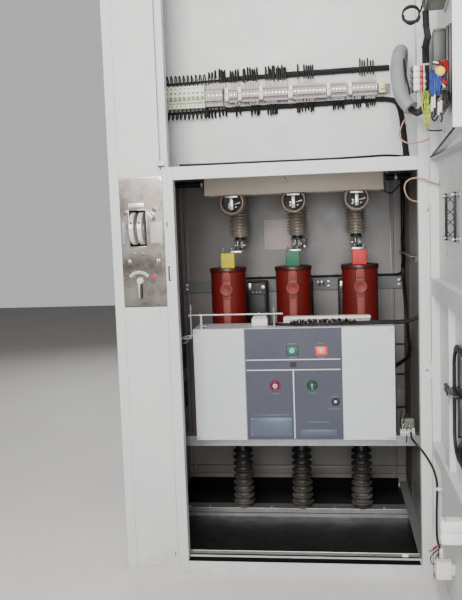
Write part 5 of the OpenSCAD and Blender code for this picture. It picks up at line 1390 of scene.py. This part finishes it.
class BAY_OT_conduit(bpy.types.Operator):
    """Makes the corrugated conduit that carries the door's wires"""
    bl_idname = "bay.conduit"
    bl_label = "Door conduit"

    def execute(self, context):
        radius = sizes().conduit_radius * 1000
        route = even_run([at(*p) for p in CONDUIT_ROUTE], 0.0016)
        form = Form().use("grey_conduit")
        form.wires([route], radius, 24, 0, lambda i: (1.0, 0.985, 0.955, 0.985)[i % 4])
        piece = form.done("conduit_hose", "grey_conduit", "lv_conduit", angle=60)
        path = even_run([at(*p) for p in CONDUIT_ROUTE], 0.02)
        if (route[-1] - path[-1]).length > 0.0005:
            path.append(route[-1])
        cuffs = Form().use("grey_plastic")
        cuffs.rod((481.6, -59, 1627.6), (486.4, -63.2, 1621), radius + 1.8, 28, 1.4)
        cuffs.use("black_wire").wires([[
            (474, 60, 1806), (474, 34, 1794), (475, 14, 1768), (477, -4, 1734), (483, -20, 1698), (486, -34, 1670),
        ]], 3.4, 8)
        cuffs.done("conduit_cuff", "black_plastic")
        return {"FINISHED"}


HINGE = at(550, -6, 0)
DOOR_SWING = Matrix.Translation(HINGE) @ Matrix.Rotation(math.radians(-4), 4, "Z") @ Matrix.Translation(-HINGE)


class BAY_OT_control_door(bpy.types.Operator):
    """Makes the backs of the relay, the meter, the switch and the lamps with their wires"""
    bl_idname = "bay.control_door"
    bl_label = "Control door devices"

    def execute(self, context):
        rng = random.Random(5)
        lead = sizes().wire_radius * 1000
        form = Form()
        form.turn = DOOR_SWING
        # the relay: a case on a wider back frame, with its terminal blocks under it
        form.use("black_plastic").blocks(
            (567, 577.2, -606, -430, 1582, 1757, 2, 2), (560, 568, -604, -434, 1588, 1752, 2, 2))
        form.use("dark_green_plastic").blocks(
            (527.4, 561, -600, -436, 1664, 1742, 3, 3), (530, 561, -596, -440, 1740, 1748, 2, 2))
        form.use("black_plastic").blocks(
            (528, 562, -598, -438, 1584, 1661, 2.4, 2), (534, 566, -596, -442, 1549, 1586, 2, 2))
        for i in range(9):
            for up in (1590, 1608):
                form.block(524, 529, -594 + i * 17, -582 + i * 17, up, up + 10, 1, 1)
        form.block(536, 566, -603, -598, 1592, 1600, 1, 1)
        # the meter over it
        form.use("grey_green_plastic").blocks(
            (519, 577.2, -502, -360, 1850, 2012, 3, 3), (511.4, 521, -492, -370, 1862, 2000, 3, 3))
        form.use("black_plastic").block(516, 520, -498, -470, 1856, 1900, 1.5, 2)
        form.use("earth_wire").blocks(
            (515.6, 519.4, -369, -364, 1856, 1902, 1, 2), (514, 518, -368, -363, 1880, 1893, 1, 2))
        form.use("white_plastic").blocks(
            (508, 514, -366, -360, 1884, 1896, 1.4, 2), (572, 577.2, -508, -354, 1844, 2018, 1.5, 2))
        # the lamps
        for u in (300, 396, 492):
            form.use("black_plastic").rods(
                ((577.2, -36 - u, 2150), (566, -36 - u, 2150), 24, 28, 1),
                ((568, -36 - u, 2150), (524, -36 - u, 2150), 16, 24, 1.5))
            form.use("zinc_steel")
            for side in (-9, 9):
                form.screw((524, -36 - u + side, 2150), "-x", 3, 1.8)
        form.done("control_door_cases", "black_plastic", "lv_door_devices")

        stack = Form()
        stack.turn = DOOR_SWING
        layers = (
            (484.4, 490, "black_plastic", -303), (490, 508, "white_plastic", -306), (508, 518.6, "red_wire", -305),
            (518.6, 522.4, "white_plastic", -304.4), (522.4, 532.4, "sleeve_green", -306),
            (532.4, 577.2, "black_plastic", -302),
        )
        for k in range(4):
            low = 1640.5 + k * 18
            for x0, x1, name, near in layers:
                stack.use(name).block(x0, x1 - 0.3, near, -256, low, low + 17.2, 0.8, 2)
            stack.use("white_plastic").block(523.6, 531, -307, -305.6, low + 5, low + 12, 0.5, 1)
            stack.use("black_plastic").rod((500, -306.4, low + 3), (500, -305, low + 3), 1.6, 10, 0)
            stack.block(480.4, 485, -300, -296, low + 3, low + 14, 0.8, 1)
        stack.done("switch_stack", "white_plastic")

        wires = Form()
        wires.turn = DOOR_SWING
        wires.use("relay_yellow").lathe((545, -604, 1639), "-d", [
            (0, 0), (10.6, 0), (12.6, 1.5), (13.2, 5), (12, 8), (8.6, 9.4), (7.4, 8.4), (2.4, 8.2), (0, 8.8),
        ], 32)
        wires.use("black_plastic").lathe((545, -598, 1639), "-d", [(0, 0), (12, 0), (12, 6.4), (0, 6.4)], 24)
        wires.use("red_wire")
        paths = []
        for i in range(5):
            side = rng.uniform(-4, 4)
            paths.append([
                (545 + side, -603, 1654), (551 + side, -611, 1663 + rng.uniform(-2, 3)),
                (562 - i * 2, -608, 1664 - i * 2), (566, -602, 1650 - i * 5),
            ])
            paths.append([
                (546 + side, -603, 1624), (551 + side, -610, 1614), (558 + side * 0.5, -608, 1606),
                (565, -600, 1614 + i * 3),
            ])
        wires.wires(paths, lead * 1.1, 6, 4)
        wires.use("pale_wire").rods(
            ((528, -604, 1664), (541, -606, 1660), 2.6, 10, 0.4),
            ((549, -606, 1612), (556, -606, 1598), 2.8, 10, 0.4))
        wires.use("blue_wire")
        paths = []
        for i in range(12):
            x = 520 + i * 2.4
            paths.append([
                (x + 2, -601, 1646 - i), (x + rng.uniform(-4, 4), -608, 1632 + rng.uniform(-6, 6)),
                (x + rng.uniform(-4, 3), -611, 1604), (524 + i * 1.5, -607, 1578),
            ])
        for i in range(3):
            paths.append([
                (524 + i * 5, -604, 1622 - i * 8), (532 + i * 3, -612, 1626 - i * 7), (540, -611, 1618 - i * 9),
                (548, -604, 1610 - i * 6),
            ])
        wires.wires(paths, lead * 1.5, 6, 4)
        wires.use("pale_wire")
        for x, low, high in ((524, 1540, 1576), (530, 1548, 1584), (540, 1529, 1562), (546, 1536, 1566)):
            wires.rod((x + 1, -607, high), (x, -606, low), 3.0, 10, 0.5)
        wires.use("black_wire").wires([
            [(524, -606, 1541), (523, -605, 1526), (530, -603, 1516), (537, -605, 1524), (540, -606, 1531)],
            [(530, -606, 1549), (531, -606, 1536), (528, -604, 1524)],
            [(546, -606, 1537), (549, -605, 1522), (546, -603, 1512)],
            [(538, -604, 1600), (536, -610, 1584), (533, -606, 1566), (534, -604, 1550)],
            [(560, -600, 1590), (562, -604, 1574), (560, -602, 1560)],
            [(552, -600, 1590), (552, -604, 1576), (550, -602, 1566)],
            [(568, -596, 1588), (570, -600, 1576), (572, -598, 1570)],
        ], 2.6, 8)
        wires.use("earth_wire")
        paths = []
        for i in range(5):
            x = 519 + i * 5
            paths.append([
                (x, -318, 1640 - i * 3), (x - 4 + rng.uniform(-4, 3), -324, 1592),
                (x + rng.uniform(-5, 5), -326, 1562), (526 + rng.uniform(-4, 5), -322, 1540), (527, -318, 1524),
            ])
        wires.wires(paths, 2.4, 6, 4)
        wires.use("tan_wire").wires([
            [(506, -303, 1642), (508, -310, 1626), (514, -306, 1608), (520, -300, 1602)],
            [(511, -303, 1642), (514, -309, 1622), (518, -304, 1604)],
        ], 2.2, 8)
        wires.use("zinc_steel").ring((577.2, -318, 1521), "-x", 3, 8, 2.4)
        wires.bolt((577, -318, 1521), "-x", 9, 5, 0)
        wires.use("black_wire").wires([[
            (527, -318, 1524), (540, -314, 1521), (562, -316, 1520), (575, -318, 1521),
        ]], 2.2, 8)
        # the door loom, the coil beside the meter and the end of the conduit's bundle
        bundle(wires, [
            (523, -362, 1852), (524, -356, 1836), (526, -346, 1806), (531, -340, 1778), (529, -330, 1764),
        ], 9.4, 6)
        bundle(wires, [(531, -340, 1780), (527, -332, 1764), (526, -316, 1740), (527, -310, 1712)], 12.5, 8)
        bundle(wires, [
            (531, -328, 1706), (535, -324, 1668), (533, -312, 1640), (528, -280, 1612), (522, -220, 1600),
            (514, -150, 1598), (504, -106, 1602), (494, -78, 1612), (488, -68, 1622),
        ], 10.5, 7)
        turns = []
        for i in range(76):
            angle = i * math.tau / 20
            wide = 23 + 3 * math.sin(i * 0.31)
            turns.append((484 + wide * math.cos(angle), -334 - 10 * math.sin(angle) + i * 0.1,
                1851 + (21 + 3 * math.cos(i * 0.23)) * math.sin(angle)))
        wires.wires([turns], 2.4, 8, 2)
        wires.wires([[
            (461, -334, 1850), (464, -336, 1838), (474, -337, 1831), (490, -337, 1830), (503, -336, 1833),
            (508, -336, 1846),
        ]], 4.6, 10)
        wires.wires([[(506, -334, 1852), (512, -340, 1862), (516, -352, 1876), (518, -358, 1884)]], 2.6, 8)
        wires.use("tan_wire").wires([
            [(549, -60, 1606), (526, -68, 1604), (506, -68, 1606), (489, -66, 1601), (470, -64, 1586),
            (458, -60, 1563), (453, -58, 1540), (462, -60, 1520), (486, -64, 1510), (520, -66, 1512),
            (549, -62, 1522)],
        ], 2.4, 8, 6)
        wires.done("control_door_wires", "black_wire")
        return {"FINISHED"}


# The drives beside the bay

class BAY_OT_drive_plate(bpy.types.Operator):
    """Makes the bare labels, domed nuts and marks on the drive plate"""
    bl_idname = "bay.drive_plate"
    bl_label = "Drive plate details"

    def execute(self, context):
        form = Form().use("bright_steel_and_highlight")
        form.block(-485, -429, -0.8, 0.2, 1339, 1353, 0.5)
        form.use("plate_label").block(-410, -367, -0.5, 0.2, 1211, 1286, 0.4)
        form.use("dark_label").block(-514, -498, -0.5, 0.2, 1204, 1296, 0.4)
        form.use("bare_label")
        for x in (-511, -507.5, -504):
            form.block(x, x + 1.2, -0.8, -0.3, 1210, 1290, 0.1)
        # the bare arc over the selector
        for i in range(7):
            angle = math.radians(40 + i * 16.6)
            x, up = -458 + 38 * math.cos(angle), 1076 + 34 * math.sin(angle)
            form.rod((x, -0.5, up), (x, 0.2, up), 6.2, 18, 0.2)
        form.use("polished_steel")
        nuts = ((-494, 1320, 6.5), (-473, 1175, 4.6), (-440, 1174, 4.6), (-492, 1147, 6.5), (-389, 1146, 7.5),
            (-392, 1329, 7))
        dome = ((0, 0), (1.25, 0), (1.25, 1), (1, 1.4), (0.98, 3), (0.7, 5.4), (0.3, 6.6), (0, 6.8))
        for x, up, r in nuts:
            form.lathe((x, 0, up), "-d", [(r * share, high) for share, high in dome], 24)
        # a painted highlight along the plate's bent top edge and on its top right corner
        form.use("bright_steel_and_highlight").blocks(
            (-515.3, -361, -0.8, 0.4, 1438.2, 1442.3, 0.6), (-376, -361.4, -0.8, 0.4, 1424, 1439, 0.6))
        form.use("shadow_seam").block(-515.3, -361, -0.6, 0.4, 986.6, 988.6, 0.1)
        form.use("polished_steel")
        # the raised collar of the slot, open for the discs
        form.blocks((-487, -483.8, -2, 0.2, 1198, 1330, 0.8), (-424.2, -421, -2, 0.2, 1198, 1330, 0.8))
        for low in (1327.4, 1197.6):
            form.block(-487, -421, -2, 0.2, low, low + 3, 0.8)
        form.use("red_dot").lathe((-403, 0, 1094), "-d", [(0, 0), (8.5, 0), (8.5, 0.5), (8, 1.1), (0, 1.3)], 28)
        form.use("black_plastic")
        for x, up, radius in ((-500, 1147, 3.4), (-460, 1021, 3.6)):
            form.rod((x, -0.3, up), (x, 0.4, up), radius, 16, 0)
        form.use("zinc_steel").lathe((-404, 0, 1310), "-d", [(5.4, -0.4), (13, -0.4), (13, 1.6), (10, 3), (5.4, 3)],
            28, True)
        form.lathe((-454, 0, 1079), "-d", [(6, -0.4), (12.5, -0.4), (12.5, 1), (6, 1.2)], 28, True)
        form.done("drive_plate_details", "polished_steel")

        for name, x in (("upper", -468.5), ("lower", -439.5)):
            disc = Form().use("bright_steel_and_highlight")
            disc.lathe((x, 12, 1264), "x", [
                (8.4, -8), (18, -8), (20, -6.6), (22, -6.2), (45, -6.2), (47, -7.6), (49, -8), (55.6, -8), (57, -6.6),
                (57, 6.6), (55.6, 8), (49, 8), (47, 7.6), (45, 6.2), (22, 6.2), (20, 6.6), (18, 8), (8.4, 8),
            ], 72, True)
            # the dark socket for the crank
            disc.use("black_steel")
            angle = math.radians(200)
            inner, outer = ((x, 12 + r * math.cos(angle), 1264 - r * math.sin(angle)) for r in (44, 57.3))
            disc.rod(inner, outer, 4.4, 20, 0.3)
            disc.use("zinc_steel")
            for degrees in (30, 150, 270):
                angle = math.radians(degrees)
                depth, up = 12 + 34 * math.cos(angle), 1264 + 34 * math.sin(angle)
                for side, axis in ((-6, "-x"), (6, "x")):
                    disc.screw((x + side, depth, up), axis, 3.4, 1.6)
            disc.done(name + "_disc_body", "polished_steel", name + "_drive_disc", body=name + "_disc")

        # a slanting grip on a round stem
        knob = Form().use("bright_steel_and_highlight")
        knob.lathe((-404, 0, 1310), "-d", [(0, -14), (4.9, -14), (4.9, 13), (6.4, 14), (6.4, 21), (0, 21)], 32)
        knob.rods(
            ((-413.2, -26, 1323.4), (-395.4, -26, 1296.6), 6.6, 28, 3.2),
            ((-409.6, -26, 1318), (-399, -26, 1302), 7.4, 28, 0.8))
        knob.done("locking_knob_head", "zinc_steel", "locking_knob", body="knob")

        lever = Form().use("white_plastic")
        lever.lathe((-454, 0, 1079), "-d", [(0, 3), (9.4, 3), (10, 4), (10, 13), (8.6, 14), (0, 14)], 32)
        lever.use("zinc_steel").rod((-454, 12, 1079), (-454, -4, 1079), 5, 20, 0.3)
        lever.screw((-454, -13.8, 1079), "-d", 4, 1.4)
        lever.block(-462.6, -452.6, -14, -6, 1017.6, 1076, 2.4, 3)
        lever.use("black_plastic").block(-453, -446.4, -13.4, -5.6, 1017, 1076, 2, 3)
        lever.done("selector_handle", "black_plastic", "selector_lever", body="selector")
        return {"FINISHED"}


# The main door

class BAY_OT_main_door(bpy.types.Operator):
    """Makes the window's rubber, the latch, the blocks and the fastenings inside the main door"""
    bl_idname = "bay.main_door"
    bl_label = "Main door fittings"

    def execute(self, context):
        low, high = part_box("main_door_window")
        near, far = low.y * 1000 + FRONT_PLANE, high.y * 1000 + FRONT_PLANE
        bottom, top = low.z * 1000, high.z * 1000

        def rounded_ring(form, inset, width, x0, x1, radius):
            """A flat ring with round corners: an outline is inset, opened and pushed out."""
            a, b, c, d = near + inset, far - inset, bottom + inset, top - inset
            path = []
            corners = ((b - radius, d - radius), (a + radius, d - radius), (a + radius, c + radius),
                (b - radius, c + radius))
            for quarter, (middle, centre) in enumerate(corners):
                for i in range(9):
                    angle = math.radians(quarter * 90 + i * 11.25)
                    path.append((middle + radius * math.cos(angle), centre + radius * math.sin(angle)))
            solid = bmesh.new()
            outer = [solid.verts.new(at(x0, depth, up)) for depth, up in path]
            ring = solid.faces.new(outer)
            solid.normal_update()
            bmesh.ops.inset_region(solid, faces=[ring], thickness=width / 1000, use_even_offset=True, use_boundary=True)
            bmesh.ops.delete(solid, geom=[f for f in solid.faces if len(f.verts) > 4], context="FACES_ONLY")
            grown = bmesh.ops.extrude_face_region(solid, geom=solid.faces[:])
            pushed = [v for v in grown["geom"] if isinstance(v, bmesh.types.BMVert)]
            bmesh.ops.translate(solid, vec=((x1 - x0) / 1000, 0, 0), verts=pushed)
            bmesh.ops.recalc_face_normals(solid, faces=solid.faces[:])
            edges = [e for e in solid.edges if len(e.link_faces) == 2 and e.calc_face_angle(0) > 1.0]
            soften(solid, edges, 0.0016)
            form.take(solid)

        rubber = Form().use("rubber")
        rounded_ring(rubber, 0.5, 20, 566.5, 571.5, 73)
        rounded_ring(rubber, 10, 8, 564.5, 569, 63)
        rubber.done("window_rubber", "black_plastic", body="main_door")
        outside = Form().use("rubber")
        rounded_ring(outside, 3, 17, 579, 583.5, 70)
        outside.done("window_rubber_outside", "black_plastic", body="main_door")

        latch = Form().use("zinc_steel")
        for depth in (-256, -421):
            for up in (1204, 1330):
                latch.rod((577.3, depth, up), (560, depth, up), 4, 14, 0.4)
                latch.bolt((562, depth, up), "-x", 12, 5, 9)
                latch.ring((577.4, depth, up), "-x", 4, 11, 1.6)
        latch.use("black_steel")
        for depth in (-256, -421):
            latch.rod((566, depth, 1196), (566, depth, 1338), 4.2, 14, 0.5)
        latch.use("black_wire")
        for shift in (0, 1):
            zigzag = [(564 + shift * 2, -261 if (i + shift) % 2 else -416, 1204 + i * 31.5) for i in range(5)]
            latch.wires([zigzag], 1.4, 6, 4)
        latch.use("zinc_steel")
        for depth, up in (
            (-211, 1153), (-290, 1150), (-242, 972), (-338, 975), (-180, 985), (-560, 1250), (-640, 1250),
        ):
            latch.screw((577.4, depth, up), "-x", 5, 2.4)
        for depth in (-60, -240, -420, -600, -780):
            for up in (477, 1036):
                latch.screw((550.4, depth, up), "-x", 3.2, 1.4)
        latch.done("door_latch", "zinc_steel", body="main_door")

        blocks = Form().use("white_plastic")
        for base in (386, 419):
            blocks.blocks(
                (495.2, 574, -612, -572, base, base + 32, 2, 3), (493.4, 496, -604, -580, base + 9, base + 23, 1, 2))
        blocks.blocks((519.2, 566, -318, -288, 148, 204, 2.4, 3), (565, 577.2, -312, -294, 160, 192, 1.4, 2))
        for i in range(7):
            blocks.block(523 + i * 6, 526 + i * 6, -319.4, -317, 153, 199, 0.8, 2)
        blocks.use("zinc_steel").block(574, 577.2, -622, -562, 382, 455, 1, 2)
        for depth in (-617, -567):
            blocks.screw((574, depth, 418.5), "-x", 3, 1.6)
        blocks.use("terminal_shade")
        for base in (386, 419):
            for depth in (-606, -592, -578):
                blocks.rod((507, depth, base + 31.6), (507, depth, base + 32.4), 3, 14, 0.1)
        blocks.done("door_block_bodies", "white_plastic", "main_door_blocks", body="main_door")

        lock = Form().use("black_plastic")
        lock.blocks(
            (580.2, 588, -876, -844, 730, 870, 3, 3), (587, 593.8, -872, -848, 742, 856, 2.6, 3),
            (573, 577.2, -878, -842, 772, 828, 1.4, 2))
        lock.use("zinc_steel").lathe((573.4, -860, 800), "-x", [(0, 0), (12, 0), (12, 6), (9, 8), (0, 8)], 28)
        lock.block(563.4, 566, -868, -852, 780, 822, 1.2, 2)
        lock.bolt((563.4, -860, 800), "-x", 10, 5, 8)
        lock.rods(((570, -860, 830), (570, -860, 1440), 4, 12, 0.4), ((570, -860, 770), (570, -860, 60), 4, 12, 0.4))
        for up in (120, 640, 960, 1390):
            lock.block(564, 577.3, -867, -853, up, up + 16, 1.4, 2)
        lock.screw((593.6, -860, 752), "x", 4, 1.6)
        lock.lathe((593.6, -860, 838), "x", [(0, 0), (7, 0), (7, 1.6), (5.6, 2.2), (2, 2.2), (2, 0.8), (0, 0.8)], 24)
        # the small black catch on the upright, with its two bright screws
        lock.use("black_plastic").blocks(
            (547.2, 557.3, -345, -301, 744, 766, 2, 3), (557, 577.2, -338, -308, 750, 760, 1.6, 2),
            (549, 569, -470, -344, 753, 764, 2, 2), (548, 554, -360, -344, 738, 770, 2, 2))
        lock.use("zinc_steel").rod((552, -290, 755), (552, -302, 755), 3.6, 12, 0.5)
        lock.screws(((547.2, -312, 755), "-x", 4.6, 2.6), ((549, -456, 759), "-x", 4.6, 2.6))
        lock.wires([[(553, -372, 753), (551, -374, 744), (554, -376, 734), (550, -374, 724), (553, -376, 716)]], 1.4, 6)
        lock.done("door_lock_parts", "black_plastic", "main_door_lock", body="main_door")
        return {"FINISHED"}


EARTH_ROUTE = (
    (512.8, 20, 1322), (506, 20, 1322), (494, 14, 1326), (480, 2, 1334), (470, -10, 1350), (466, -15, 1368),
    (470, -16, 1384),
    (484, -18, 1396), (508, -18, 1399), (532, -20, 1393), (549, -24, 1384), (562, -34, 1378), (572, -44, 1376),
    (576, -48, 1376),
)
LAMP_ROUTE = (
    (508, 299, 445), (503, 240, 450), (496, 170, 466), (489, 100, 484), (484, 50, 497), (484, 12, 500),
    (494, -8, 490), (512, -14, 470),
    (532, -17, 440), (549, -21, 408), (558, -27, 375), (561, -32, 345), (559, -37, 300), (557, -40, 240),
    (557, -41, 190), (559, -42, 160),
    (565, -43, 136), (573, -44, 119), (577, -44, 112),
)


class BAY_OT_door_leads(bpy.types.Operator):
    """Makes the earth lead and the lamp lead that run to the main door"""
    bl_idname = "bay.door_leads"
    bl_label = "Leads to the main door"

    def execute(self, context):
        leads = (
            ("earth_lead", EARTH_ROUTE, 2.6, "tan_wire", "tinned_copper", (0.536, -0.486, 1.402),
            (0.559, -0.486, 1.398)),
            ("lamp_lead", LAMP_ROUTE, 4.0, "black_wire", "black_wire", (0.535, -0.49, 0.45), (0.562, -0.50, 0.42)),
        )
        for name, route, radius, colour_name, slot, start, end in leads:
            path = even_run([at(*p) for p in route], 0.01)
            form = Form().use(colour_name)
            form.wires([path], radius, 12, 0)
            piece = form.done(name, slot, body=None, angle=60)
            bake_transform(piece)
        return {"FINISHED"}


class BAY_OT_door_ties(bpy.types.Operator):
    """Makes the ties, clips and the small loop of the lamp lead on the main door"""
    bl_idname = "bay.door_ties"
    bl_label = "Clips of the leads"

    def execute(self, context):
        form = Form().use("white_plastic")
        form.ring((559, -35, 338), "z", 4.2, 6.4, 5)
        form.block(560, 577.3, -42, -30, 334, 346, 1.4, 2)
        form.use("zinc_steel").ring((576.9, -48, 1376), "-x", 2.7, 6.4, 1.8)
        form.bolt((575, -48, 1376), "-x", 9, 4, 7)
        form.use("red_wire").wires([
            [(557, -46, 138), (548, -50, 132), (538, -50, 126), (530, -48, 121)],
            [(557, -45, 141), (550, -49, 137), (543, -51, 133)],
            [(557, -46, 141), (566, -50, 146), (574, -52, 150)],
        ], 2.2, 8, 4)
        form.use("black_wire").wires([
            [(566, -40, 130), (556, -46, 124), (542, -48, 112), (534, -48, 96), (538, -48, 80), (550, -46, 76),
            (560, -44, 88), (562, -42, 106), (570, -42, 116), (576, -42, 120)],
            [(566, -36, 130), (560, -50, 116), (550, -54, 98), (553, -54, 88), (562, -48, 92), (574, -44, 104)],
        ], 1.7, 8, 5)
        form.use("white_plastic").block(565, 577.2, -52, -34, 98, 132, 1.6, 2)
        form.done("lead_clips", "white_plastic", body="main_door")

        fixed = Form().use("zinc_steel")
        fixed.ring((513, 20, 1322), "-x", 2.7, 6.4, 1.8)
        fixed.use("cabinet_paint")
        # faint screw marks on the right post
        for up in (1290, 743, 1860):
            fixed.screws(((537, -0.1, up), "-d", 4.2, 1.4), ((531, -0.1, up + 5), "-d", 2.6, 1.0))
        fixed.use("rubber")
        # a black strip under the control door: painted shade on the shadowed underside of its rim
        fixed.turn = DOOR_SWING
        fixed.block(551, 556, -898, -14, 1463.2, 1466.4, 1.0, 2)
        fixed.done("post_marks_and_door_shade", "black_plastic")
        return {"FINISHED"}


# The panel and the run

OPERATORS = (
    BAY_OT_stage, BAY_OT_sheet_metal, BAY_OT_cabinet_fittings, BAY_OT_bay_walls,
    BAY_OT_isolator, BAY_OT_poles, BAY_OT_breaker_front, BAY_OT_lower_insulators,
    BAY_OT_breaker_top, BAY_OT_bay_wiring, BAY_OT_current_transformers, BAY_OT_control_rows,
    BAY_OT_control_wiring, BAY_OT_conduit, BAY_OT_control_door, BAY_OT_drive_plate,
    BAY_OT_main_door, BAY_OT_door_leads, BAY_OT_door_ties,
)


class BAY_PT_panel(bpy.types.Panel):
    """Lists the sizes, the colours and the steps that make the bay's pieces"""
    bl_idname = "BAY_PT_panel"
    bl_label = "Breaker Bay"
    bl_space_type = "VIEW_3D"
    bl_region_type = "UI"
    bl_category = "Breaker Bay"

    def draw(self, context):
        for title, group in (("Colours", colours()), ("Sizes", sizes())):
            box = self.layout.box()
            box.label(text=title)
            for name in group.__annotations__:
                box.prop(group, name)
        steps = self.layout.box()
        steps.label(text="Pieces")
        for operator in OPERATORS:
            steps.operator(operator.bl_idname)


CLASSES = (BayColours, BaySizes, *OPERATORS, BAY_PT_panel)


def register():
    for kind in CLASSES:
        bpy.utils.register_class(kind)
    bpy.types.Scene.bay_colours = bpy.props.PointerProperty(type=BayColours)
    bpy.types.Scene.bay_sizes = bpy.props.PointerProperty(type=BaySizes)


def unregister():
    del bpy.types.Scene.bay_sizes
    del bpy.types.Scene.bay_colours
    for kind in reversed(CLASSES):
        bpy.utils.unregister_class(kind)


def main():
    register()
    for operator in OPERATORS:
        getattr(bpy.ops.bay, operator.bl_idname.split(".")[1])()


if __name__ == "__main__":
    main()
